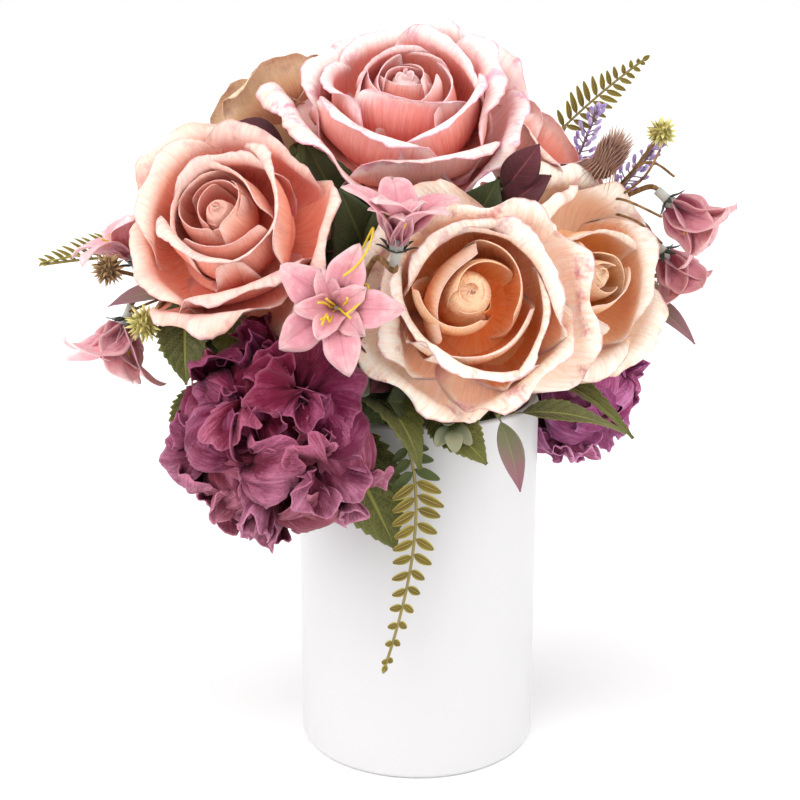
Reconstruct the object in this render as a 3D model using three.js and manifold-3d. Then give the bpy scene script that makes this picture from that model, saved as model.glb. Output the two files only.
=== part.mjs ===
// Floral table centerpiece: a white ceramic cylinder vase filled with dry floral foam, which holds a dome of
// fabric flowers. Seven open roses and three hydrangea heads plug onto wired stems; star lilies, fern fronds,
// lavender, thistles, pale sprigs and coloured leaves fill the gaps between them. Every stem stands in its own
// hole in the foam. Millimetres, +Z up, origin at the centre of the vase's foot, the display side facing -Y.
import * as THREE from "three";
import { mergeVertices } from "three/addons/utils/BufferGeometryUtils.js";
import Module from "manifold-3d";

const wasm = await Module();
wasm.setup();

// ---------- driving dimensions ----------
const VASE_RADIUS = 50;
const VASE_HEIGHT = 150;
const VASE_WALL = 4;
const FOOT_ROUND = 2.5;
const FOAM_TOP = 138; // the foam stops below the rim
const HOLE_DEPTH = 40; // how far a stem is pushed into the foam
const GAP = 0.3; // between pieces that touch
const PETAL_THICKNESS = 0.9;
const LEAF_THICKNESS = 0.9;
const SPRIG_THICKNESS = 0.72;
const STEM_RADIUS = 1.7; // of the roses and hydrangeas
const TWIG_RADIUS = 1.2; // of the ferns
const SPRAY_RADIUS = 1.44; // of the twigs that carry lilies
const LEAF_STEM_RADIUS = 1.08;
const PEG_RADIUS = 2.4; // the end of a stem that plugs into a flower head
const PEG_LENGTH = 6;
const GOLDEN_ANGLE = Math.PI * (3 - Math.sqrt(5)); // between one petal or floret and the next

// ---------- small helpers ----------
const V = (x, y, z) => new THREE.Vector3(x, y, z);
const point = (p) => V(...p);
const unit = (p) => point(p).normalize();
const mix = (a, b, t) => a + (b - a) * t;
const blend = (a, b, t) => (Array.isArray(a) ? a.map((part, i) => blend(part, b[i], t)) : mix(a, b, t));
const clamp01 = (t) => Math.min(1, Math.max(0, t));
const smooth = (t) => clamp01(t) ** 2 * (3 - 2 * clamp01(t));

// A repeatable number from -1 to 1 for the n-th draw.
function jitter(n) {
  const wave = Math.sin(n * 12.9898 + 4.1414) * 43758.5453;
  return 2 * (wave - Math.floor(wave)) - 1;
}

function solidOf(geometry) {
  const bare = geometry.clone();
  bare.deleteAttribute("normal");
  bare.deleteAttribute("uv");
  const merged = mergeVertices(bare, 1e-4);
  return new wasm.Manifold(
    new wasm.Mesh({
      numProp: 3,
      vertProperties: merged.attributes.position.array,
      triVerts: new Uint32Array(merged.index.array),
    }),
  );
}

function meshOf(name, solid, material) {
  const made = solid.getMesh();
  const geometry = new THREE.BufferGeometry();
  geometry.setAttribute("position", new THREE.BufferAttribute(made.vertProperties, 3));
  geometry.setIndex(new THREE.BufferAttribute(made.triVerts, 1));
  const mesh = new THREE.Mesh(geometry, material);
  mesh.name = name;
  return mesh;
}

// Joins pieces into one body. Hollows that the joining seals are filled and loose scraps are dropped, by
// keeping only the outer skin of the largest piece.
function fuse(geometries) {
  const joined = wasm.Manifold.union(geometries.map(solidOf));
  return joined.decompose().reduce((best, part) => (part.volume() > best.volume() ? part : best));
}

// Turns local +Z to a direction, after a roll about it.
function facing(direction, roll = 0) {
  const swing = new THREE.Quaternion().setFromUnitVectors(V(0, 0, 1), direction);
  const spin = new THREE.Quaternion().setFromAxisAngle(V(0, 0, 1), roll);
  return swing.multiply(spin);
}

function moved(geometry, position, quaternion, scale = 1) {
  const matrix = new THREE.Matrix4();
  matrix.compose(position, quaternion, V(scale, scale, scale));
  return geometry.applyMatrix4(matrix);
}

function onPath(curve, radius, steps, sides) {
  const section = new THREE.Shape();
  for (let i = 0; i < sides; i++) {
    const angle = (2 * Math.PI * i) / sides;
    const corner = [radius * Math.cos(angle), radius * Math.sin(angle)];
    if (i) section.lineTo(...corner);
    else section.moveTo(...corner);
  }
  return new THREE.ExtrudeGeometry(section, { steps, bevelEnabled: false, extrudePath: curve });
}

// A turned shape about +Z. profile: [radius, height] from the axis round to the axis again.
function turned(profile, sides) {
  const points = profile.map(([r, z]) => new THREE.Vector2(r, z));
  return new THREE.LatheGeometry(points, sides).rotateX(Math.PI / 2);
}

// A thin sheet with the same triangles on both faces. sheet(u, v) is its middle surface, with u from -1 to 1
// across it and v from 0 to 1 along it.
function blade(sheet, across, along, thickness) {
  const columns = across + 1;
  const rows = along + 1;
  const step = 0.02; // over which the slope of the sheet is read
  const positions = [];
  for (const side of [0.5, -0.5]) {
    for (let j = 0; j < rows; j++) {
      for (let i = 0; i < columns; i++) {
        const u = (2 * i) / across - 1;
        const v = j / along;
        const alongU = sheet(Math.min(1, u + step), v).sub(sheet(Math.max(-1, u - step), v));
        const alongV = sheet(u, Math.min(1, v + step)).sub(sheet(u, Math.max(0, v - step)));
        const normal = alongU.cross(alongV).normalize();
        positions.push(...sheet(u, v).addScaledVector(normal, side * thickness).toArray());
      }
    }
  }
  const index = [];
  const back = columns * rows;
  const wall = (a, b) => index.push(a, back + a, b, b, back + a, back + b);
  for (let j = 0; j < along; j++) {
    for (let i = 0; i < across; i++) {
      const a = j * columns + i;
      const [b, c, d] = [a + 1, a + columns, a + columns + 1];
      index.push(a, b, d, a, d, c);
      index.push(back + a, back + d, back + b, back + a, back + c, back + d);
    }
    wall(j * columns + across, (j + 1) * columns + across);
    wall((j + 1) * columns, j * columns);
  }
  for (let i = 0; i < across; i++) {
    wall(i, i + 1);
    wall(along * columns + i + 1, along * columns + i);
  }
  const geometry = new THREE.BufferGeometry();
  geometry.setAttribute("position", new THREE.Float32BufferAttribute(positions, 3));
  geometry.setIndex(index);
  return geometry;
}

// A thin star about +Z: facets from a centre to an outline that runs anticlockwise, alike on both faces.
function star(centre, outline, thickness) {
  const count = outline.length;
  const lean = outline.map((corner, i) => {
    const before = outline[(i + count - 1) % count].clone().sub(centre);
    const after = outline[(i + 1) % count].clone().sub(centre);
    const spoke = corner.clone().sub(centre);
    return before.cross(spoke).normalize().add(spoke.cross(after).normalize()).normalize();
  });
  const positions = [];
  for (const side of [0, -1]) {
    positions.push(centre.x, centre.y, centre.z + side * thickness);
    outline.forEach((corner, i) => {
      positions.push(...corner.clone().addScaledVector(lean[i], side * thickness).toArray());
    });
  }
  const index = [];
  const back = count + 1;
  for (let i = 0; i < count; i++) {
    const a = 1 + i;
    const b = 1 + ((i + 1) % count);
    index.push(0, a, b, back, back + b, back + a);
    index.push(a, back + a, b, b, back + a, back + b);
  }
  const geometry = new THREE.BufferGeometry();
  geometry.setAttribute("position", new THREE.Float32BufferAttribute(positions, 3));
  geometry.setIndex(index);
  return geometry;
}

const polar = (radius, angle, z) => V(radius * Math.cos(angle), radius * Math.sin(angle), z);

const material = (color, roughness, metalness = 0) =>
  new THREE.MeshStandardMaterial({ color, roughness, metalness });

const arrangement = new THREE.Group();

// ---------- vase ----------
const GLAZE = material("#f6f6f7", 0.25);
const VASE_SIDES = 32;
const VASE_FLOOR = 5;
const RIM_ROUND = 1;
const innerRadius = VASE_RADIUS - VASE_WALL;
const vaseProfile = [
  [0, 0],
  [VASE_RADIUS - FOOT_ROUND, 0],
  [VASE_RADIUS - FOOT_ROUND * 0.3, FOOT_ROUND * 0.3],
  [VASE_RADIUS, FOOT_ROUND],
  [VASE_RADIUS, VASE_HEIGHT - RIM_ROUND],
  [VASE_RADIUS - RIM_ROUND, VASE_HEIGHT],
  [innerRadius + RIM_ROUND, VASE_HEIGHT],
  [innerRadius, VASE_HEIGHT - RIM_ROUND],
  [innerRadius, VASE_FLOOR],
  [0, VASE_FLOOR],
];
arrangement.add(meshOf("vase", solidOf(turned(vaseProfile, VASE_SIDES)), GLAZE));

// ---------- stems ----------
const STEM_GREEN = material("#5c6b3a", 0.7);
const TWIG_BROWN = material("#7a5a3c", 0.75);
const MOUTH = FOAM_TOP + 3; // up to here a stem is straight
const STEM_STEPS = 5;
const STEM_SIDES = 4;
const holes = []; // where the foam is pierced, filled in as the stems are made

// The part of a stem above the foam: one bend from the mouth of its hole to its end. It leaves straight up,
// by about rise, and arrives along a direction, over about reach.
function stemBend({ hole, end, arrive, reach, rise = reach * 0.7 }) {
  const mouth = V(...hole, MOUTH);
  const low = V(...hole, MOUTH + rise);
  const high = end.clone().addScaledVector(arrive, -reach);
  return new THREE.CubicBezierCurve3(mouth, low, high, end);
}

// The whole stem: its first step lies in the hole, the others on the bend.
class StemLine extends THREE.Curve {
  constructor(bend, steps) {
    super();
    this.bend = bend;
    this.steps = steps;
  }
  getPoint(t) {
    const step = t * this.steps;
    if (step > 1) return this.bend.getPoint((step - 1) / (this.steps - 1));
    return this.bend.v0.clone().add(V(0, 0, (step - 1) * (HOLE_DEPTH + MOUTH - FOAM_TOP)));
  }
  getPointAt(t) {
    return this.getPoint(t);
  }
  getTangentAt(t) {
    return this.getTangent(t);
  }
}

function stem(route, radius) {
  holes.push({ hole: route.hole, radius });
  return onPath(new StemLine(stemBend(route), STEM_STEPS), radius, STEM_STEPS, STEM_SIDES);
}

// A side branch through a few points.
function branch(points, radius, steps = 3) {
  return onPath(new THREE.CatmullRomCurve3(points), radius, steps, STEM_SIDES);
}

// ---------- roses ----------
// How a petal's shape changes with its age, from the bud (0) to the outside (1), for a head of 47 mm radius.
// line: root, two handles and start of the rolled rim, as [distance from the axis, height].
// flat: how much flatter than round about the axis the petal is across. roll: how far its rim curls, in
// radians, and rim: the curl's radius. droop: how far its sides hang. ruffle: how high its edge waves.
const ROSE_RADIUS = 47;
const PETAL_STAGES = [
  {
    age: 0, line: [[3, 13], [8, 17], [7, 27], [5, 36]], halfWidth: 10, flat: 1,
    roll: 0.4, rim: 1, droop: 0, ruffle: 0,
  },
  {
    age: 0.3, line: [[5, 10], [18, 12], [15, 28], [15, 35]], halfWidth: 17, flat: 1.02,
    roll: 1.5, rim: 1.6, droop: 1, ruffle: 0.3,
  },
  {
    age: 0.65, line: [[6, 6], [31, 6], [26, 24], [29, 31]], halfWidth: 25, flat: 1.15,
    roll: 2, rim: 2.2, droop: 2, ruffle: 0.7,
  },
  {
    age: 1, line: [[6, 3], [28, 1], [35, 8], [42, 18]], halfWidth: 30, flat: 1.5,
    roll: 2, rim: 3, droop: 4, ruffle: 1.2,
  },
];
const RIM_START = 0.82; // where along a petal its rim begins to roll
const BUD_AGE = 0.25; // a younger petal is small enough for fewer facets

function petalStage(age) {
  const next = Math.max(1, PETAL_STAGES.findIndex((stage) => age <= stage.age));
  const [from, to] = [PETAL_STAGES[next - 1], PETAL_STAGES[next]];
  const t = (age - from.age) / (to.age - from.age);
  return Object.fromEntries(Object.keys(from).map((key) => [key, blend(from[key], to[key], t)]));
}

// A petal's middle line: out and up from its root on a Bezier curve, then over the rolled rim.
// Returns [distance from the axis, height].
function petalLine(stage, t, roll) {
  const [a, b, c, d] = stage.line;
  const s = Math.min(1, t / RIM_START);
  const k = 1 - s;
  const bezier = (i) => k ** 3 * a[i] + 3 * k * k * s * b[i] + 3 * k * s * s * c[i] + s ** 3 * d[i];
  const lean = Math.atan2(d[0] - c[0], d[1] - c[1]);
  const turn = roll * clamp01((t - RIM_START) / (1 - RIM_START));
  return [
    bezier(0) + stage.rim * (Math.cos(lean) - Math.cos(lean + turn)),
    bezier(1) + stage.rim * (Math.sin(lean + turn) - Math.sin(lean)),
  ];
}

// A point of a petal that stands at +Y of the rose's axis, at u across and v along.
function petalPoint(stage, seed, u, v) {
  const side = Math.abs(u);
  const reach = v * (1 - 0.2 * side ** 3);
  const roll = stage.roll * mix(0.45, 1, smooth(side * 1.6)) * (1 + 0.25 * jitter(seed));
  const [r, z] = petalLine(stage, reach, roll);
  const spread = mix(0.14, 1, smooth(v / 0.8));
  const bend = Math.max(r, 4) * stage.flat;
  const angle = (stage.halfWidth * spread * u) / bend;
  const wave = stage.ruffle * Math.sin(3.2 * u + 5 * jitter(seed + 7)) * v ** 3;
  return V(
    bend * Math.sin(angle),
    r - bend * (1 - Math.cos(angle)) + wave,
    z - stage.droop * side * side * v + wave * 0.5,
  );
}

// The middle of the head, which the petals grow out of, as [radius, height].
const CORE_SIDES = 6;
const roseCore = [
  [6, 0],
  [10, 3],
  [9, 12],
  [3.5, 17],
  [3, 31],
  [0, 33],
];

// The blind hole that takes a stem's peg, as the start of a turned profile.
const SOCKET_RADIUS = PEG_RADIUS + 2 * GAP;
const socket = [
  [0, PEG_LENGTH],
  [SOCKET_RADIUS, PEG_LENGTH],
  [SOCKET_RADIUS, 0],
];

function roseHead(rose) {
  const scale = rose.radius / ROSE_RADIUS;
  const pieces = [turned([...socket, ...roseCore.map(([r, z]) => [r * scale, z * scale])], CORE_SIDES)];
  for (let i = 0; i < rose.petals; i++) {
    const age = mix(rose.youngest ?? 0, 1, i / (rose.petals - 1));
    const stage = petalStage(age);
    const seed = rose.seed + i * 3;
    const along = age < BUD_AGE ? 2 : 3;
    const petal = blade((u, v) => petalPoint(stage, seed, u, v), 3, along, PETAL_THICKNESS / scale);
    pieces.push(petal.rotateZ(i * GOLDEN_ANGLE + rose.roll).scale(scale, scale, scale));
  }
  return fuse(pieces);
}

// The green cup under a flower head and the peg that plugs into it. Local origin at the head's base.
const CALYX_DEPTH = 9;
const CALYX_RADIUS = 5;
const CALYX_SIDES = 5;
const calyxProfile = [
  [0, -CALYX_DEPTH],
  [STEM_RADIUS * 1.1, -CALYX_DEPTH],
  [CALYX_RADIUS, -GAP],
  [PEG_RADIUS, -GAP],
  [PEG_RADIUS, PEG_LENGTH - 2 * GAP],
  [0, PEG_LENGTH - 2 * GAP],
];

const ROSES = [
  {
    name: "rose_top", colour: "#e8a79b", radius: 55, centre: [-5, 5, 265],
    axis: [0, -0.56, 0.83], roll: 0.3, hole: [-3, 12], seed: 1, petals: 11,
  },
  {
    name: "rose_left", colour: "#e09a8a", radius: 43, centre: [-71, -45, 227],
    axis: [-0.25, -0.75, 0.6], roll: 1.1, hole: [-25, -7], seed: 2, petals: 10,
  },
  {
    name: "rose_front", colour: "#eebb94", radius: 46, centre: [22, -62, 200],
    axis: [0.06, -0.95, 0.3], roll: 0.2, hole: [8, -21], seed: 3, petals: 10,
  },
  {
    name: "rose_right", colour: "#f3c6a0", radius: 42, centre: [66, -6, 200],
    axis: [0.5, -0.8, 0.3], roll: 0.8, hole: [28, -4], reach: 18, seed: 4, petals: 10,
  },
  {
    name: "rose_back_left", colour: "#cfa27f", radius: 36, centre: [-56, 55, 256],
    axis: [-0.6, 0.45, 0.66], roll: 0.5, hole: [-18, 19], seed: 5, petals: 6, youngest: 0.2,
  },
  {
    name: "rose_back_right", colour: "#e8917d", radius: 37, centre: [51, 44, 243],
    axis: [0.7, 0.3, 0.65], roll: 0.1, hole: [16, 16], seed: 6, petals: 6, youngest: 0.2,
  },
  {
    name: "rose_back", colour: "#e6a596", radius: 40, centre: [5, 76, 198],
    axis: [0.05, 0.93, 0.36], roll: 0.9, hole: [1, 30], seed: 7, petals: 6, youngest: 0.2,
  },
];
const HEAD_DEPTH = 22; // from a rose's base to the middle of its rim, for the full-size head
const CALYX_OVERLAP = 1; // how far a stem runs into its calyx
const ROSE_REACH = 28; // how far back from the calyx a rose's stem starts to turn

for (const rose of ROSES) {
  const depth = (HEAD_DEPTH * rose.radius) / ROSE_RADIUS;
  const out = unit(rose.axis);
  const turn = facing(out);
  const base = point(rose.centre).addScaledVector(out, -depth);
  const head = meshOf(rose.name, roseHead(rose), material(rose.colour, 0.8));
  head.position.copy(base);
  head.quaternion.copy(turn);
  arrangement.add(head);
  const end = base.clone().addScaledVector(out, CALYX_OVERLAP - CALYX_DEPTH);
  const green = fuse([
    stem({ hole: rose.hole, end, arrive: out, reach: rose.reach ?? ROSE_REACH }, STEM_RADIUS),
    moved(turned(calyxProfile, CALYX_SIDES), base, turn),
  ]);
  arrangement.add(meshOf(rose.name + "_stem", green, STEM_GREEN));
}

// ---------- leaves ----------
const LEAF_STALK = 0.1; // the share of a leaf's length that is its stalk
const STALK_SHARE = 0.1; // the stalk's width, as a share of the leaf's

// from: where the leaf leaves its stem. to: its tip. up: the way its upper face looks.
// lift: how far the middle bows that way, as a share of the length. fold: how far the sides rise from the
// midrib. teeth: how deep the edge is cut. rows: steps along it.
function leaf({ from, to, up, width, lift = 0.12, fold = 0.25, teeth = 0, rows = 3 }) {
  const bow = from.clone().lerp(to, 0.5).addScaledVector(up, 2 * lift * from.distanceTo(to));
  const line = new THREE.QuadraticBezierCurve3(from, bow, to);
  const sheet = (u, v) => {
    const tangent = line.getTangent(v);
    const side = tangent.clone().cross(up).normalize();
    const normal = side.clone().cross(tangent);
    const cut = Math.round(v * rows) % 2 ? 1 + teeth : 1 - teeth;
    const body = Math.sin(Math.PI * clamp01((v - LEAF_STALK) / (1 - LEAF_STALK)) ** 0.75);
    const half = (width / 2) * Math.max(STALK_SHARE, body * cut);
    return line
      .getPoint(v)
      .addScaledVector(side, u * half)
      .addScaledVector(normal, Math.abs(u) * half * fold);
  };
  return blade(sheet, 2, rows, LEAF_THICKNESS);
}

// ---------- hydrangeas ----------
const HYDRANGEA_RADIUS = 40;
const FLORET_RADIUS = 19; // on a head of that radius
const FLORET_PETALS = 4;
const FLORET_SLOPE = 0.72; // how steeply the petals rise from the floret's centre, in radians
const FLORET_HEIGHT = 14; // how far the florets stand out of the head's core
const FLORET_SINK = 1.5; // how far their centres are sunk into it
const FLORET_TURN = 1.9; // how far each is turned from the one before
const PETAL_HALF_ANGLE = 0.52; // half of what a petal's outer edge spans, in radians
const HEAD_COVER = 1.12; // how far down the sides the florets reach, from 0 to 2

// One floret: four broad petals that dish outwards from their centre.
function floret(seed, size) {
  const outline = [];
  const spoke = (share, angle, slope) =>
    polar(size * share * Math.cos(slope), angle, size * share * Math.sin(slope));
  for (let i = 0; i < FLORET_PETALS; i++) {
    const middle = (2 * Math.PI * i) / FLORET_PETALS;
    const slope = FLORET_SLOPE + 0.14 * jitter(seed + 5 * i);
    outline.push(spoke(0.6, middle - Math.PI / FLORET_PETALS, FLORET_SLOPE));
    outline.push(spoke(1, middle - PETAL_HALF_ANGLE, slope));
    outline.push(spoke(1, middle + PETAL_HALF_ANGLE, slope + 0.1));
  }
  return star(V(0, 0, 0), outline, PETAL_THICKNESS);
}

function hydrangeaHead(head) {
  const core = head.radius - FLORET_HEIGHT;
  const profile = [
    ...socket,
    [core * 0.92, 0],
    [core * 0.93, core * 0.36],
    [core * 0.64, core * 0.77],
    [0, core],
  ];
  const pieces = [turned(profile, 7)];
  for (let i = 0; i < head.florets; i++) {
    const height = 1 - ((i + 0.5) * HEAD_COVER) / head.florets; // cosine of the angle from the head's axis
    const flat = Math.sqrt(1 - height * height);
    const out = polar(flat, i * GOLDEN_ANGLE, height);
    const size = (FLORET_RADIUS * head.radius) / HYDRANGEA_RADIUS;
    const root = out.clone().multiplyScalar(core - FLORET_SINK);
    pieces.push(moved(floret(head.seed + 11 * i, size), root, facing(out, i * FLORET_TURN)));
  }
  return fuse(pieces);
}

const HYDRANGEAS = [
  {
    name: "hydrangea_front", colour: "#7d2a4a", radius: HYDRANGEA_RADIUS, centre: [-52, -66, 153],
    axis: [-0.5, -0.8, -0.25], hole: [-22, -27], florets: 12, seed: 20,
    leaves: [
      { at: 0.5, to: [0, -74, 141], up: [0.3, -0.3, 0.9], width: 24, lift: 0.22 },
      { at: 0.72, to: [-9, -60, 104], up: [0.3, -1, 0], width: 24 },
      { at: 0.6, to: [-84, -42, 192], up: [-0.3, -0.8, 0.5], width: 24 },
    ],
  },
  {
    name: "hydrangea_right", colour: "#8a2c55", radius: 34, centre: [66, 38, 143],
    axis: [0.8, 0.5, -0.2], hole: [31, 19], florets: 9, seed: 40,
    leaves: [
      { at: 0.55, to: [88, -14, 135], up: [0.1, -0.1, 0.97], width: 17 },
      { at: 0.5, to: [30, 72, 140], up: [0, 0.4, 0.9], width: 22 },
    ],
  },
  {
    name: "hydrangea_back", colour: "#7d2a4a", radius: 36, centre: [-64, 52, 160],
    axis: [-0.75, 0.65, -0.05], hole: [-27, 24], florets: 8, seed: 60,
    leaves: [
      { at: 0.45, to: [-96, 8, 150], up: [-0.3, -0.3, 0.9], width: 22 },
      { at: 0.5, to: [-28, 80, 146], up: [0, 0.4, 0.9], width: 22 },
    ],
  },
];

for (const flower of HYDRANGEAS) {
  const out = unit(flower.axis);
  const base = point(flower.centre);
  const turn = facing(out);
  const head = meshOf(flower.name, hydrangeaHead(flower), material(flower.colour, 0.85));
  head.position.copy(base);
  head.quaternion.copy(turn);
  arrangement.add(head);
  const end = base.clone().addScaledVector(out, CALYX_OVERLAP - CALYX_DEPTH);
  const route = { hole: flower.hole, end, arrive: out, reach: 22, rise: 25 };
  const bend = stemBend(route);
  const leaves = flower.leaves.map((spec) => {
    const [from, to, up] = [bend.getPoint(spec.at), point(spec.to), unit(spec.up)];
    return leaf({ ...spec, from, to, up, teeth: 0.1, rows: 6 });
  });
  const green = fuse([
    stem(route, STEM_RADIUS),
    moved(turned(calyxProfile, CALYX_SIDES), base, turn),
    ...leaves,
  ]);
  arrangement.add(meshOf(flower.name + "_stem", green, material("#66702c", 0.7)));
}

// ---------- ferns ----------
// A frond cut from one arched sheet: leaflets on both sides of a rib, longest a third of the way up.
// line: where the rib runs. up: the way the upper face looks. fold: how far the leaflets rise from the rib.
function frond({ line, up, pairs, length, fold }) {
  const total = line.getLength();
  const pitch = total / (pairs + 0.5);
  const rib = 1;
  const flat = []; // the sheet's corners before it is bent, as [across, along]
  const facets = [];
  const corner = (x, y) => flat.push([x, y]) - 1;
  const quad = (a, b, c, d) => facets.push([a, b, c], [a, c, d]);
  let [left, right] = [corner(-rib, 0), corner(rib, 0)];
  const climb = (y) => {
    const [nextLeft, nextRight] = [corner(-rib, y), corner(rib, y)];
    quad(left, right, nextRight, nextLeft);
    [left, right] = [nextLeft, nextRight];
  };
  for (let i = 0; i < pairs; i++) {
    const y = pitch * (i + 0.4);
    const t = i / (pairs - 1);
    const reach = length * Math.min(1, 0.6 + 1.6 * t) * (1 - t ** 1.6 * 0.85);
    const low = y + 0.35 * reach;
    const high = low + pitch * 0.38;
    climb(y);
    const [rootLeft, rootRight] = [left, right];
    climb(y + pitch * 0.6);
    quad(rootRight, corner(rib + reach, low), corner(rib + reach * 0.92, high), right);
    quad(rootLeft, left, corner(-rib - reach * 0.92, high), corner(-rib - reach, low));
  }
  facets.push([left, right, corner(0, total)]);

  const depth = LEAF_THICKNESS * Math.hypot(1, fold);
  const positions = [];
  for (const face of [0.5, -0.5]) {
    for (const [x, y] of flat) {
      const t = clamp01(y / total);
      const tangent = line.getTangentAt(t);
      const side = tangent.clone().cross(up).normalize();
      const normal = side.clone().cross(tangent);
      const bent = line
        .getPointAt(t)
        .addScaledVector(tangent, Math.max(0, y - total))
        .addScaledVector(side, x)
        .addScaledVector(normal, face * depth + fold * Math.abs(x));
      positions.push(...bent.toArray());
    }
  }
  const back = flat.length;
  const edges = facets.flatMap(([a, b, c]) => [[a, b], [b, c], [c, a]]);
  const shared = new Set(edges.map(([a, b]) => `${b} ${a}`));
  const rim = edges.filter(([a, b]) => !shared.has(`${a} ${b}`));
  const index = [
    ...facets.flatMap(([a, b, c]) => [a, b, c, back + a, back + c, back + b]),
    ...rim.flatMap(([a, b]) => [a, back + a, b, b, back + a, back + b]),
  ];
  const geometry = new THREE.BufferGeometry();
  geometry.setAttribute("position", new THREE.Float32BufferAttribute(positions, 3));
  geometry.setIndex(index);
  return geometry;
}

const FERNS = [
  {
    name: "fern_left", hole: [-35, 10], reach: 25, up: [0.05, -0.35, 0.95], pairs: 9, length: 13,
    fold: 1.1, points: [[-84, 20, 204], [-120, 18, 205], [-156, 15, 202]],
  },
  {
    name: "fern_right", hole: [17, 27], arrive: [0.45, -0.2, 0.88], reach: 42, rise: 20,
    up: [-0.1, -1, 0.1], pairs: 10, length: 12,
    fold: 0.25, points: [[66, 86, 252], [84, 89, 268], [103, 89, 283]],
  },
  {
    name: "fern_hanging", hole: [-4, -34], reach: 14, rise: 16, up: [0.15, -1, 0.1], pairs: 11, length: 11,
    fold: 0.2, points: [[-5, -62, 148], [-2, -66, 110], [-14, -63, 54]],
  },
  {
    name: "fern_back", hole: [-14, 32], reach: 24, up: [0, 0.4, 0.9], pairs: 8, length: 13,
    fold: 0.25, points: [[-36, 78, 214], [-46, 98, 216], [-58, 118, 204]],
  },
];

for (const fern of FERNS) {
  const line = new THREE.CatmullRomCurve3(fern.points.map(point));
  const arrive = fern.arrive ? unit(fern.arrive) : line.getTangentAt(0);
  const route = { ...fern, arrive, end: line.getPointAt(0.04) };
  const green = fuse([stem(route, TWIG_RADIUS), frond({ ...fern, line, up: unit(fern.up) })]);
  arrangement.add(meshOf(fern.name, green, material("#8a7d2e", 0.65)));
}

// ---------- star lilies ----------
// A star of five long petals, with a smaller star inside the double ones, on a tube that slips over its twig's
// end. Local origin at the tube's mouth, +Z the way the flower looks. open: 0 a closed bell, 1 a flat star.
const LILY_TUBE = 9;
const LILY_PETALS = 5;
const LILY_CUP = 4; // from the tube's end to the middle of the open flower
const STAMEN_LENGTH = 14;
const PIN_RADIUS = 1.1; // the end of a twig that the tube slips over
const PIN_HOLE = 1.8;
const PIN_LENGTH = 5;
const PIN_LEAD = 2; // how far before the tube the twig is straight
const BURR_STALK = 0.96; // the radius of a burr's stalk
const lilyTube = [
  [0, PIN_LENGTH],
  [PIN_HOLE, PIN_LENGTH],
  [PIN_HOLE, 0],
  [2.6, 0],
  [3.4, LILY_TUBE - 1],
  [0, LILY_TUBE + 2],
];

function lilyStar(size, open, start, broad, seed) {
  const outline = [];
  for (let i = 0; i < LILY_PETALS; i++) {
    const middle = start + (2 * Math.PI * i) / LILY_PETALS;
    const slope = mix(1.25, 0.1, open) + 0.12 * jitter(seed + i);
    const spoke = (share, angle, tilt) =>
      polar(size * share * Math.cos(tilt), angle, LILY_TUBE + 1 + size * share * Math.sin(tilt));
    outline.push(spoke(0.22, middle - Math.PI / LILY_PETALS, slope));
    if (broad) outline.push(spoke(0.62, middle - broad, slope + 0.12));
    outline.push(spoke(1, middle, slope - 0.15));
    if (broad) outline.push(spoke(0.62, middle + broad, slope + 0.12));
  }
  return star(V(0, 0, LILY_TUBE), outline, PETAL_THICKNESS);
}

function lilyFlower(lily) {
  const pieces = [
    turned(lilyTube, 5),
    lilyStar(lily.size, lily.open, 0, mix(0.3, 0.42, 1 - lily.open), lily.seed),
  ];
  if (lily.double) {
    const inner = lilyStar(lily.size * 0.55, lily.open * 0.4, Math.PI / LILY_PETALS, 0, lily.seed + 9);
    pieces.push(inner.translate(0, 0, 1));
  }
  const stamens = new THREE.ConeGeometry(1.3, STAMEN_LENGTH, 3).rotateX(Math.PI / 2);
  stamens.translate(0, 0, LILY_TUBE + STAMEN_LENGTH / 2 - 1);
  return fuse([...pieces, stamens]);
}

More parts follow.
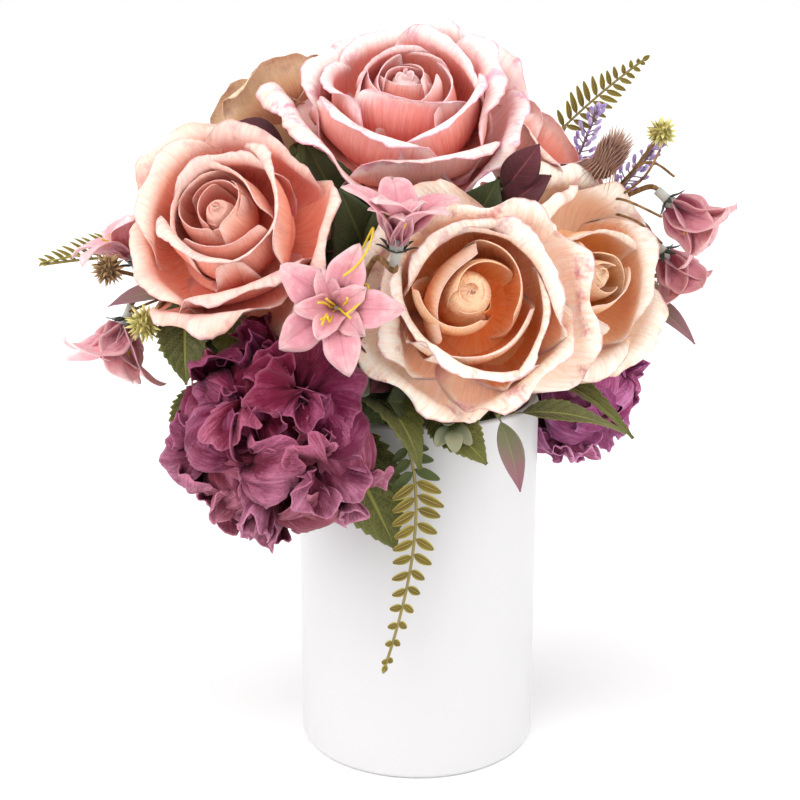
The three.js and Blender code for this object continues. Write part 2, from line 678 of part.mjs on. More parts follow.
const SPRAYS = [
  {
    name: "twig_left", hole: [-36, -3], fork: [-90, -20, 190], arrive: [-0.8, -0.25, 0.35], reach: 26,
    lilies: [
      {
        name: "lily_left_low", centre: [-117, -28, 181], axis: [-0.5, -0.2, -0.85],
        size: 25, open: 0.55, lead: [-104, -20, 201], seed: 71, double: true,
      },
      {
        name: "lily_left_high", centre: [-119, -10, 211], axis: [-0.55, 0.05, 0.8],
        size: 21, open: 0.6, lead: [-102, -12, 194], seed: 72,
      },
    ],
    burrs: [
      { centre: [-104, -46, 190], radius: 8, lead: [-97, -34, 196], many: true },
      { centre: [-120, -30, 208], radius: 7, lead: [-106, -26, 203] },
    ],
  },
  {
    name: "twig_centre", hole: [-11, -20], fork: [-22, -50, 205], arrive: [-0.1, -0.7, 0.7], reach: 26,
    lilies: [
      {
        name: "lily_centre_high", centre: [-9, -80, 233], axis: [0.05, -0.4, 0.9],
        size: 25, open: 0.5, lead: [-16, -64, 218], seed: 73, double: true,
      },
      {
        name: "lily_centre_low", centre: [-30, -86, 204], axis: [-0.1, -0.95, 0.2],
        size: 25, open: 0.75, lead: [-26, -62, 206], seed: 74, double: true,
      },
    ],
    burrs: [],
  },
  {
    name: "twig_right", hole: [25, 10], fork: [76, 28, 223], arrive: [0.8, 0.1, 0.5], reach: 34,
    lilies: [
      {
        name: "lily_right_high", centre: [107, 8, 226], axis: [0.6, -0.2, -0.75],
        size: 22, open: 0.3, lead: [90, 18, 232], seed: 75,
      },
      {
        name: "lily_right_low", centre: [108, 28, 200], axis: [0.6, 0.1, -0.8],
        size: 22, open: 0.5, lead: [94, 28, 218], seed: 76,
      },
    ],
    burrs: [
      { centre: [102, 32, 255], radius: 7, lead: [90, 32, 238] },
    ],
    brush: { centre: [77, 14, 245], axis: [0.45, -0.25, 0.85], lead: [70, 20, 232] },
  },
  {
    name: "twig_back", hole: [9, 35], fork: [43, 79, 199], arrive: [0.4, 0.8, 0.4], reach: 26,
    lilies: [
      {
        name: "lily_back", centre: [50, 102, 208], axis: [0.3, 0.85, 0.3],
        size: 25, open: 0.6, lead: [44, 84, 202], seed: 77,
      },
    ],
    burrs: [],
  },
];

// A burr: every facet of a ball drawn out to a spine. It has 20 of them, or 32 where it has many.
function burr({ radius, many }) {
  const inner = radius * 0.55;
  const ball = many ? new THREE.OctahedronGeometry(inner, 1) : new THREE.IcosahedronGeometry(inner);
  const facets = ball.attributes.position;
  const positions = [];
  for (let i = 0; i < facets.count; i += 3) {
    const corners = [0, 1, 2].map((k) => V().fromBufferAttribute(facets, i + k));
    const tip = corners[0].clone().add(corners[1]).add(corners[2]).setLength(radius);
    corners.forEach((corner, k) => {
      positions.push(...corner.toArray(), ...corners[(k + 1) % 3].toArray(), ...tip.toArray());
    });
  }
  const geometry = new THREE.BufferGeometry();
  return geometry.setAttribute("position", new THREE.Float32BufferAttribute(positions, 3));
}

// A brush thistle about +Z: a scaly bulb with a tuft of bristles at its mouth.
function brushHead() {
  const bristles = 7;
  const length = 16;
  const mouth = V(0, 0, 4);
  const pieces = [burr({ radius: 8 }).scale(1, 1, 1.25)];
  for (let i = 0; i < bristles; i++) {
    const out = polar(0.45 + 0.1 * jitter(i), (2 * Math.PI * i) / bristles, 1).normalize();
    const bristle = new THREE.ConeGeometry(1.5, length, 3).rotateX(Math.PI / 2).translate(0, 0, length / 2);
    pieces.push(moved(bristle, mouth, facing(out)));
  }
  return pieces;
}

for (const spray of SPRAYS) {
  const fork = point(spray.fork);
  const route = { hole: spray.hole, end: fork, arrive: unit(spray.arrive), reach: spray.reach };
  const twigs = [stem(route, SPRAY_RADIUS)];
  for (const lily of spray.lilies) {
    const out = unit(lily.axis);
    const base = point(lily.centre).addScaledVector(out, -LILY_TUBE - LILY_CUP);
    const turn = facing(out, lily.seed);
    const flower = meshOf(lily.name, lilyFlower(lily), material("#e9a3ab", 0.8));
    flower.position.copy(base);
    flower.quaternion.copy(turn);
    arrangement.add(flower);
    const seat = base.clone().addScaledVector(out, -PIN_LEAD);
    const pin = base.clone().addScaledVector(out, PIN_LENGTH - 2 * GAP);
    twigs.push(branch([fork, point(lily.lead), seat, pin], PIN_RADIUS, 5));
  }
  for (const ball of spray.burrs) {
    const centre = point(ball.centre);
    twigs.push(branch([fork, point(ball.lead), centre], BURR_STALK));
    twigs.push(burr(ball).translate(...ball.centre));
  }
  if (spray.brush) {
    const centre = point(spray.brush.centre);
    const turn = facing(unit(spray.brush.axis));
    twigs.push(branch([fork, point(spray.brush.lead), centre], TWIG_RADIUS));
    twigs.push(...brushHead().map((piece) => moved(piece, centre, turn)));
  }
  arrangement.add(meshOf(spray.name, fuse(twigs), TWIG_BROWN));
}

// ---------- lavender ----------
const WHORLS = 5; // rings of buds on a spike
const SPIKE_RADIUS = 4;
const SPIKE_WAIST = 1.3; // between the rings
const LAVENDER_STEM = 1.02;
const SPIKE_SIDES = 5;
const LAVENDERS = [
  { name: "lavender_left", hole: [23, 29], reach: 36, base: [72, 77, 238], tip: [82, 78, 264] },
  { name: "lavender_right", hole: [32, 12], reach: 26, base: [88, 42, 231], tip: [104, 42, 251] },
];
for (const lavender of LAVENDERS) {
  const [base, tip] = [point(lavender.base), point(lavender.tip)];
  const out = tip.clone().sub(base);
  const length = out.length();
  out.normalize();
  const profile = [[0, 0]];
  for (let i = 0; i < WHORLS; i++) {
    const swell = SPIKE_RADIUS * Math.sin(Math.PI * (0.25 + (0.65 * i) / WHORLS));
    profile.push([SPIKE_WAIST, (length * i) / WHORLS], [swell, (length * (i + 0.6)) / WHORLS]);
  }
  profile.push([0, length]);
  const purple = fuse([
    stem({ ...lavender, end: base.clone().addScaledVector(out, 2), arrive: out }, LAVENDER_STEM),
    moved(turned(profile, SPIKE_SIDES), base, facing(out)),
  ]);
  arrangement.add(meshOf(lavender.name, purple, material("#8a6bb0", 0.85)));
}

// ---------- leaf stems ----------
// Loose leaves on stems of their own. round: a short broad leaf with few facets, for the pale sprigs.
function roundLeaf(from, to, up, width) {
  const along = to.clone().sub(from);
  const side = along.clone().cross(up).setLength(width / 2);
  const normal = side.clone().cross(along).normalize();
  const sheet = (u, v) => {
    const across = u * mix(mix(0.2, 1, smooth(v * 2.5)), 0.35, v ** 4);
    const cup = 2 * across * across * v;
    return from
      .clone()
      .addScaledVector(along, v)
      .addScaledVector(side, across)
      .addScaledVector(normal, cup);
  };
  return blade(sheet, 2, 2, SPRIG_THICKNESS);
}

const LEAF_STEMS = [
  {
    name: "leaves_burgundy_left", colour: "#4a1c22", hole: [-14, 4],
    end: [-52, -2, 250], arrive: [-0.5, -0.2, 0.7],
    leaves: [
      { at: 0.96, to: [-72, -8, 262], up: [-0.3, -0.6, 0.7], width: 13 },
      { at: 0.75, to: [-38, -24, 232], up: [0, -0.9, 0.4], width: 13 },
      { at: 0.6, to: [-30, -34, 214], up: [0, -0.9, 0.4], width: 13 },
    ],
  },
  {
    name: "leaves_burgundy_right", colour: "#4a1c22", hole: [12, 0],
    end: [32, -24, 238], arrive: [0.3, -0.3, 0.9],
    leaves: [
      { at: 0.97, to: [45, -32, 256], up: [0.2, -0.9, 0.3], width: 14 },
      { at: 0.85, to: [50, -30, 244], up: [0.2, -0.9, 0.4], width: 13 },
      { at: 0.7, to: [8, -40, 230], up: [0, -0.9, 0.4], width: 13 },
    ],
  },
  {
    name: "leaves_burgundy_low", colour: "#4a1c22", hole: [-2, -9],
    end: [-15, -46, 176], arrive: [0, -0.8, 0.5],
    leaves: [
      { at: 0.97, to: [-24, -66, 187], up: [0, -0.8, 0.6], width: 13 },
      { at: 0.8, to: [-18, -66, 168], up: [0.2, -0.9, 0.3], width: 13 },
    ],
  },
  {
    name: "leaves_dusky_front", colour: "#8d6a72", hole: [20, -29],
    end: [30, -55, 156], arrive: [0.1, -0.8, -0.1],
    leaves: [{ at: 0.97, to: [38, -64, 129], up: [0.2, -1, 0.2], width: 13 }],
  },
  {
    name: "leaves_dusky_left", colour: "#8d6a72", hole: [-34, -12],
    end: [-88, -32, 200], arrive: [-0.8, -0.2, 0.4],
    leaves: [{ at: 0.96, to: [-120, -34, 194], up: [-0.2, -0.6, 0.7], width: 12 }],
  },
  {
    name: "leaves_dusky_right", colour: "#8d6a72", hole: [36, -1],
    end: [96, 40, 184], arrive: [0.9, 0, -0.1],
    leaves: [{ at: 0.96, to: [119, 24, 166], up: [0.2, -0.7, 0.7], width: 13 }],
  },
  {
    name: "sprig_left", colour: "#b9bda0", hole: [-12, -33],
    end: [-27, -62, 178], arrive: [-0.1, -0.8, 0.5], rise: 28, round: true,
    leaves: [
      { at: 0.97, to: [-27, -71, 184], up: [0, -0.8, 0.6], width: 9 },
      { at: 0.88, to: [-36, -64, 172], up: [0, -0.8, 0.5], width: 9 },
      { at: 0.8, to: [-20, -62, 166], up: [0, -0.8, 0.5], width: 9 },
    ],
  },
  {
    name: "sprig_front", colour: "#b9bda0", hole: [6, -34],
    end: [12, -64, 152], arrive: [0, -0.9, -0.1], round: true,
    leaves: [
      { at: 0.97, to: [13, -73, 148], up: [0, -0.6, 0.8], width: 9 },
      { at: 0.88, to: [5, -70, 148], up: [0, -0.8, 0.5], width: 8 },
      { at: 0.8, to: [21, -68, 148], up: [0, -0.8, 0.5], width: 8 },
    ],
  },
  {
    name: "sprig_right", colour: "#b9bda0", hole: [36, 6],
    end: [106, 46, 192], arrive: [0.9, -0.1, 0.1], rise: 34, round: true,
    leaves: [
      { at: 0.98, to: [116, 42, 190], up: [0.2, -0.6, 0.8], width: 8 },
      { at: 0.9, to: [104, 38, 182], up: [0, -0.8, 0.5], width: 8 },
      { at: 0.84, to: [102, 56, 186], up: [0, -0.4, 0.9], width: 8 },
    ],
  },
];

for (const group of LEAF_STEMS) {
  const [end, arrive] = [point(group.end), unit(group.arrive)];
  const route = { rise: 18, reach: 20, ...group, end, arrive };
  const bend = stemBend(route);
  const pieces = [stem(route, LEAF_STEM_RADIUS)];
  for (const spec of group.leaves) {
    const from = bend.getPoint(spec.at);
    const [to, up] = [point(spec.to), unit(spec.up)];
    pieces.push(group.round ? roundLeaf(from, to, up, spec.width) : leaf({ ...spec, from, to, up }));
  }
  arrangement.add(meshOf(group.name, fuse(pieces), material(group.colour, 0.75)));
}

// ---------- foam ----------
const FOAM_SIDES = 16;
const FOAM_RADIUS = innerRadius - 1;
const HOLE_ROOM = 1; // how much wider a hole is than its stem, in radius
const HOLE_SPARE = 2; // and how much deeper
const foamProfile = [
  [0, VASE_FLOOR + GAP],
  [FOAM_RADIUS, VASE_FLOOR + GAP],
  [FOAM_RADIUS, FOAM_TOP],
  [0, FOAM_TOP],
];
const bores = holes.map(({ hole: [x, y], radius }) => {
  const wide = radius + HOLE_ROOM;
  const bore = new THREE.CylinderGeometry(wide, wide, 2 * (HOLE_DEPTH + HOLE_SPARE), STEM_SIDES);
  return solidOf(bore.rotateX(Math.PI / 2).translate(x, y, FOAM_TOP));
});
const foam = solidOf(turned(foamProfile, FOAM_SIDES)).subtract(wasm.Manifold.union(bores));
arrangement.add(meshOf("floral_foam", foam, material("#5d7a4f", 0.95)));

export default arrangement;
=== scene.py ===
import math

import bmesh
import bpy
import numpy as np
from mathutils import Matrix, Quaternion, Vector


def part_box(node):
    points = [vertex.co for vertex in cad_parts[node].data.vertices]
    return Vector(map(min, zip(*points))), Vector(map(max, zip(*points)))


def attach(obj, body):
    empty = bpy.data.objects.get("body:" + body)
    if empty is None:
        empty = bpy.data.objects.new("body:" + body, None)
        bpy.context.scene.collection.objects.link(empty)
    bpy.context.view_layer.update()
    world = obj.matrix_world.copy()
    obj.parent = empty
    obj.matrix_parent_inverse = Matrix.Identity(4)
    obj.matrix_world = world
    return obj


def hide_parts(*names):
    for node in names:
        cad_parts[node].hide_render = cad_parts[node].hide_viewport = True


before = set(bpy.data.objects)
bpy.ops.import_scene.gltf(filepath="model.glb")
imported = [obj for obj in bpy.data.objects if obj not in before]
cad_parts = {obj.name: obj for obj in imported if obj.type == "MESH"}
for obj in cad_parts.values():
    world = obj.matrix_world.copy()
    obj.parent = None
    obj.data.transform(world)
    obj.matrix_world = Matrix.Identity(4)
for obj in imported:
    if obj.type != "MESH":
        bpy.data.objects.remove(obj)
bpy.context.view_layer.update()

# ---------- vase ----------
# A slip-cast ceramic cylinder in a satin white glaze. The rim is sponged round before firing, the foot is
# rounded by the mould, and the vase stands free on its flat base.
MM = 0.001
VASE_WALL = 4 * MM
VASE_FLOOR = 5 * MM
RIM_ROUND = 1.4 * MM
FOOT_ROUND = 2.5 * MM
VASE_SIDES = 160
SHARP_TURN = 1.0
SMOOTH_UNDER = math.radians(35)


class Finish:
    """A procedural material round one Principled shader. Its inputs may be values or links."""

    def __init__(self, name, **sockets):
        self.material = bpy.data.materials.new(name)
        self.material.use_nodes = True
        self.nodes = self.material.node_tree.nodes
        self.links = self.material.node_tree.links
        self.shader = self.nodes["Principled BSDF"]
        for socket, value in sockets.items():
            self.shader.inputs[socket.replace("_", " ")].default_value = value

    def feed(self, socket, value):
        if isinstance(value, bpy.types.NodeSocket):
            self.links.new(value, socket)
        else:
            socket.default_value = value

    def add(self, kind, inputs, out=0, **settings):
        node = self.nodes.new("ShaderNode" + kind)
        for name, value in settings.items():
            setattr(node, name, value)
        for name, value in inputs.items():
            self.feed(node.inputs[name], value)
        return node.outputs[out]

    def coords(self, kind, scale=(1, 1, 1)):
        """Object or UV coordinates, stretched by scale."""
        vector = self.add("TexCoord", {}, kind)
        return self.add("Mapping", {"Vector": vector, "Scale": scale})

    def mark(self, name):
        """A number that each blade carries."""
        return self.add("Attribute", {}, "Fac", attribute_name=name)

    def math(self, operation, a, b=0.0, c=0.0):
        return self.add("Math", {0: a, 1: b, 2: c}, operation=operation)

    def shifted(self, vector, amount):
        """The coordinates moved by a number, so that no two blades have the same pattern."""
        away = self.add("CombineXYZ", {"X": amount, "Y": amount, "Z": amount})
        return self.add("VectorMath", {0: vector, 1: away}, operation="ADD")

    def noise(self, vector, scale, detail=3.0, roughness=0.55):
        inputs = {"Vector": vector, "Scale": scale, "Detail": detail, "Roughness": roughness}
        return self.add("TexNoise", inputs)

    def step(self, value, low, high, bottom=0.0, top=1.0):
        """A soft step from bottom to top as value goes from low to high."""
        inputs = {"Value": value, "From Min": low, "From Max": high, "To Min": bottom, "To Max": top}
        return self.add("MapRange", inputs, interpolation_type="SMOOTHSTEP")

    def mix(self, factor, a, b, blend="MIX"):
        inputs = {0: factor, 6: a, 7: b}
        return self.add("Mix", inputs, 2, data_type="RGBA", blend_type=blend)

    def bump(self, height, strength, distance, normal=None):
        inputs = {"Height": height, "Strength": strength, "Distance": distance}
        if normal:
            inputs["Normal"] = normal
        return self.add("Bump", inputs)

    def done(self, colour, roughness=None, normal=None):
        self.feed(self.shader.inputs["Base Color"], colour)
        if roughness is not None:
            self.feed(self.shader.inputs["Roughness"], roughness)
        if normal is not None:
            self.feed(self.shader.inputs["Normal"], normal)
        return self.material


def tint(code):
    """A colour written as on screen, such as "#e8a79b", in the linear values that shaders take."""
    parts = [int(code[i : i + 2], 16) / 255 for i in (1, 3, 5)]
    linear = [part / 12.92 if part <= 0.04045 else ((part + 0.055) / 1.055) ** 2.4 for part in parts]
    return (*linear, 1.0)


def white_glaze():
    """Satin glaze: nearly even, with faint clouds where it lies thicker and a fine pull in its gloss."""
    glaze = Finish("satin_white_glaze", Coat_Weight=0.15, Coat_Roughness=0.3, IOR=1.5)
    place = glaze.coords("Object")
    cloud = glaze.noise(place, 12, 1)
    colour = glaze.mix(cloud, tint("#d0cfd0"), tint("#d3d2d3"))
    pull = glaze.bump(glaze.noise(place, 900, 1), 0.02, 0.05 * MM)
    return glaze.done(colour, glaze.step(cloud, 0.3, 0.7, 0.36, 0.4), pull)


def select_where(piece, wanted):
    """Selects the edges or faces of the piece in edit mode for which wanted(element) is true."""
    mesh = bmesh.from_edit_mesh(piece.data)
    for element in [*mesh.verts, *mesh.edges, *mesh.faces]:
        element.select = False
    chosen = [element for element in [*mesh.edges, *mesh.faces] if wanted(element)]
    for element in chosen:
        element.select_set(True)
    bmesh.update_edit_mesh(piece.data)


vase_low, vase_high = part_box("vase")
vase_height = vase_high.z - vase_low.z
vase_radius = (vase_high.x - vase_low.x) / 2
bpy.ops.object.select_all(action="DESELECT")
bpy.ops.mesh.primitive_cylinder_add(
    vertices=VASE_SIDES, radius=vase_radius, depth=vase_height, location=(0, 0, vase_height / 2)
)
vase = bpy.context.object
vase.name = "white_vase"
bpy.ops.object.transform_apply(location=True, rotation=True, scale=True)
bpy.ops.object.mode_set(mode="EDIT")
bpy.ops.mesh.select_mode(type="FACE")
select_where(vase, lambda part: isinstance(part, bmesh.types.BMFace) and part.normal.z > 0.9)
bpy.ops.mesh.inset(thickness=VASE_WALL)
inward = (0, 0, VASE_FLOOR - vase_height)
bpy.ops.mesh.extrude_region_move(TRANSFORM_OT_translate={"value": inward})
bpy.ops.mesh.select_mode(type="EDGE")


def is_ring(part, height):
    """Whether this is an edge of the ring that lies at this height."""
    return isinstance(part, bmesh.types.BMEdge) and all(abs(v.co.z - height) < 0.01 * MM for v in part.verts)


def on_two_faces_that_turn(part):
    """Whether the surface turns sharply from one of the edge's two faces to the other."""
    return len(part.link_faces) == 2 and part.calc_face_angle(0) > SHARP_TURN


select_where(vase, lambda part: is_ring(part, vase_height) and on_two_faces_that_turn(part))
bpy.ops.mesh.bevel(offset=RIM_ROUND, segments=5)
select_where(vase, lambda part: is_ring(part, 0) and on_two_faces_that_turn(part))
bpy.ops.mesh.bevel(offset=FOOT_ROUND, segments=6)
bpy.ops.object.mode_set(mode="OBJECT")
bpy.ops.object.shade_smooth_by_angle(angle=SMOOTH_UNDER)
vase.data.materials.append(white_glaze())
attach(vase, "root")
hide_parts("vase")

# ---------- floral foam ----------
# A block of dry green foam, cut to fit inside the vase and stopping below its rim. The stems are pushed into
# it and hold by friction, and the flowers and leaves hide it.
def foam_finish():
    """Dry foam: fine open cells, with painted shade darker in their hollows."""
    foam = Finish("dry_floral_foam", Roughness=0.95, Specular_IOR_Level=0.1)
    place = foam.coords("Object")
    cells = foam.noise(place, 900, 2)
    # Painted shade: the colour is darker where the cells' bump is low, in their hollows.
    colour = foam.mix(foam.step(cells, 0.4, 0.6), tint("#4b5a3a"), tint("#6d7c55"))
    return foam.done(colour, normal=foam.bump(cells, 0.6, 0.5 * MM))


foam_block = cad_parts["floral_foam"]
foam_block.data.materials.clear()
foam_block.data.materials.append(foam_finish())

# ---------- rose heads ----------
# Seven open roses of heat-pressed satin cloth. Each petal is one stamped blade whose rim is curled over a hot
# tool; the petals are glued by their roots round a tight scrolled bud, each a golden angle on from the last.
GOLDEN_ANGLE = math.pi * (3 - math.sqrt(5))
ROSE_RADIUS = 47
HEAD_DEPTH = 22
CLOTH = 0.38

# A petal at four ages, from the bud outwards, in millimetres on a head of ROSE_RADIUS. line is its middle
# line, as distances from the axis and heights. half is half its width. flat is how much flatter it is than a
# ring. roll and rim are its rim's turn and radius. droop and ruffle are how far its sides hang and wave.
PETAL_STAGES = [
    dict(age=0, line=[(2, 12), (10, 15), (10.5, 26), (8, 33)],
         half=15, flat=1.1, roll=0.5, rim=1, droop=0, ruffle=0),
    dict(age=0.3, line=[(5, 9), (18, 12), (17, 26), (13.5, 33)],
         half=22, flat=1.3, roll=1.3, rim=1.5, droop=1, ruffle=0.3),
    dict(age=0.65, line=[(6, 6), (30, 6), (27, 22), (25, 29)],
         half=32, flat=1.45, roll=2.2, rim=4.5, droop=2, ruffle=1.4),
    dict(age=1, line=[(6, 3), (28, 0), (38, 6), (40, 14)],
         half=35, flat=1.7, roll=2.3, rim=5.0, droop=5, ruffle=3.2),
]

# One age for each petal. hole is where the stem stands in the foam. bud, sunk and aside make the heart
# larger, set it deeper and shift it. Of the dye, young is how pale the bud is, and pale_from is how far out
# the rim's colour starts. fade_and_highlight is how pale the oldest petals are, partly faded and partly a
# painted highlight. highlight_heights is the range of heights over which that painted highlight grows, so
# that the highest petals, where the light falls, are palest.
BACK_AGES = [0.2 + 0.08 * i for i in range(11)]
ROSES = [
    dict(name="rose_top", slot="pink_rose_petal", hole=(-3, 12),
         centre=(-5, 5, 268), axis=(0, -0.56, 0.83), radius=56, roll=0.3, seed=1,
         ages=[i / 21 for i in range(22)],
         heart="#ea6a52", cloth="#f2a094", rim="#fdebe8", blush="#dd86a8",
         blotch=0.9, fade_and_highlight=0.95, young=0.8, highlight_heights=(0.236, 0.272)),
    dict(name="rose_left", slot="coral_rose_petal", hole=(-25, -7),
         centre=(-72, -45, 228), axis=(-0.25, -0.75, 0.6), radius=46, roll=1.1, seed=2,
         ages=[i / 19 for i in range(20)],
         heart="#ea7a5e", cloth="#f0a893", rim="#f8d8cb", blush="#b9778a",
         blotch=0.5, fade_and_highlight=0.05, young=0.45),
    dict(name="rose_front", slot="peach_rose_petal", hole=(8, -21),
         centre=(22, -62, 200), axis=(0.06, -0.95, 0.3), radius=47, roll=0.2, seed=3,
         ages=[0, 0.04, 0.1, 0.24, 0.34, 0.42, 0.47, 0.52, 0.56, 0.6, 0.66, 0.74, 0.82, 0.88, 0.94, 1, 1],
         bud=1.4, sunk=12, aside=(-5, -1, 4),
         heart="#f8944a", cloth="#fcc795", rim="#fff3e6", blush="#c27c8e",
         blotch=0.9, fade_and_highlight=0.85, young=0.2, pale_from=0.42),
    dict(name="rose_right", slot="cream_rose_petal", hole=(28, -4), reach=18,
         centre=(67, -6, 200), axis=(0.5, -0.8, 0.3), radius=46, roll=0.8, seed=4,
         ages=[0, 0.05, 0.1, 0.2, 0.3, 0.42, 0.55, 0.65, 0.75, 0.8, 0.86, 0.92, 0.96, 1, 1],
         heart="#f5a352", cloth="#fcd0a6", rim="#fff3e6", blush="#d98a86",
         blotch=0.7, fade_and_highlight=0.7, young=0.2, pale_from=0.46),
    dict(name="rose_back_left", slot="tan_rose_petal", hole=(-18, 19), ages=BACK_AGES,
         centre=(-62, 52, 260), axis=(-0.6, 0.45, 0.66), radius=42, roll=0.5, seed=5,
         heart="#b9714f", cloth="#d3ab80", rim="#ecd2ad", blush="#a9787c",
         blotch=0.5, fade_and_highlight=0.1, young=0.3),
    dict(name="rose_back_right", slot="salmon_rose_petal", hole=(16, 16), ages=BACK_AGES,
         centre=(51, 44, 243), axis=(0.7, 0.3, 0.65), radius=39, roll=0.1, seed=6,
         heart="#e8694f", cloth="#f2a592", rim="#fce0d8", blush="#d27c96",
         blotch=0.4, fade_and_highlight=0.2, young=0.4),
    dict(name="rose_back", slot="pink_rose_petal", hole=(1, 30), ages=BACK_AGES,
         centre=(5, 76, 198), axis=(0.05, 0.93, 0.36), radius=41, roll=0.9, seed=7,
         heart="#dd7f70", cloth="#ecab9f", rim="#fae0da", blush="#c97f9c",
         blotch=0.5, fade_and_highlight=0.2, young=0.4),
]


def mix(a, b, t):
    return a + (b - a) * t


def smooth(t):
    t = np.clip(t, 0, 1)
    return t * t * (3 - 2 * t)


def jitter(n):
    """A repeatable number from -1 to 1 for the n-th draw."""
    wave = math.sin(n * 12.9898 + 4.1414) * 43758.5453
    return 2 * (wave - math.floor(wave)) - 1


def facing(direction, roll=0.0):
    """The turn that takes local +Z to a direction, after a roll about it."""
    return Vector((0, 0, 1)).rotation_difference(Vector(direction)) @ Quaternion((0, 0, 1), roll)


def placing(position, turn, scale=1.0):
    return Matrix.Translation(Vector(position)) @ turn.to_matrix().to_4x4() @ Matrix.Scale(scale, 4)


def stack(x, y, z):
    return np.stack(np.broadcast_arrays(x, y, z), axis=-1)


def moved(points, matrix):
    grid = np.array(matrix)
    return points @ grid[:3, :3].T + grid[:3, 3]


blanks = {}


def blank(columns, rows):
    """A flat grid with a UV map, modelled once for each size and then copied."""
    if (columns, rows) not in blanks:
        bpy.ops.mesh.primitive_grid_add(x_subdivisions=columns, y_subdivisions=rows, size=2, calc_uvs=True)
        grid = bpy.context.object
        blanks[columns, rows] = grid.data
        bpy.data.objects.remove(grid)
    return blanks[columns, rows].copy()


def blade(shape, columns, rows, **marks):
    """A sheet in millimetres, shaped by a formula of u from -1 to 1 across it and v from 0 to 1 along it."""
    mesh = blank(columns, rows)
    flat = np.empty(len(mesh.vertices) * 3, np.float32)
    mesh.vertices.foreach_get("co", flat)
    points = shape(flat[0::3].astype(float), (flat[1::3].astype(float) + 1) / 2)
    mesh.vertices.foreach_set("co", (points * MM).astype(np.float32).ravel())
    for name, value in marks.items():
        attribute = mesh.attributes.new(name, "FLOAT", "POINT")
        attribute.data.foreach_set("value", np.full(len(mesh.vertices), value, np.float32))
    mesh.update()
    piece = bpy.data.objects.new("blade", mesh)
    bpy.context.scene.collection.objects.link(piece)
    return piece


def joined(name, pieces, material, thickness=0.0):
    """Joins pieces into one, gives sheets their thickness, and smooths the shading."""
    bpy.ops.object.select_all(action="DESELECT")
    for piece in pieces:
        piece.select_set(True)
    bpy.context.view_layer.objects.active = pieces[0]
    if len(pieces) > 1:
        bpy.ops.object.join()
    whole = bpy.context.view_layer.objects.active
    whole.name = name
    if thickness:
        cloth = whole.modifiers.new("thickness", "SOLIDIFY")
        cloth.thickness = thickness * MM
        cloth.offset = 0
        bpy.ops.object.modifier_apply(modifier=cloth.name)
    bpy.ops.object.shade_smooth()
    whole.data.materials.clear()
    whole.data.materials.append(material)
    return whole


def hand_in(piece, slot, *nodes):
    """Fixes a piece to the body and lets it stand for its solids, if any. slot is not used."""
    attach(piece, "root")
    if nodes:
        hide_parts(*nodes)


def petal_stage(age):
    """A petal's sizes at an age from 0, in the bud, to 1, outermost."""
    after = next(i for i, stage in enumerate(PETAL_STAGES) if i and age <= stage["age"] + 1e-9)
    young, old = PETAL_STAGES[after - 1], PETAL_STAGES[after]
    t = (age - young["age"]) / (old["age"] - young["age"])
    stage = {key: mix(young[key], old[key], t) for key in young if key != "line"}
    stage["line"] = mix(np.array(young["line"], float), np.array(old["line"], float), t)
    return stage


RIM_START = 0.78
MOST_ROLL = 1.1


def petal_line(stage, t, roll):
    """A petal's middle line as distance from the axis and height: a Bezier curve, then the rolled rim."""
    a, b, c, d = stage["line"]
    s = np.minimum(1, t / RIM_START)
    k = 1 - s
    lean = math.atan2(d[0] - c[0], d[1] - c[1])
    turn = roll * np.clip((t - RIM_START) / (1 - RIM_START), 0, MOST_ROLL)
    along = [k**3 * a[i] + 3 * k * k * s * b[i] + 3 * k * s * s * c[i] + s**3 * d[i] for i in (0, 1)]
    radius = along[0] + stage["rim"] * (math.cos(lean) - np.cos(lean + turn))
    height = along[1] + stage["rim"] * (np.sin(lean + turn) - math.sin(lean))
    return radius, height


EDGE_NICK = 0.008
RIM_FRILL = 0.32
RIB_FLUTE = 0.2
SOFT_FOLD = 0.7
TIGHTEST_BEND = 2.4


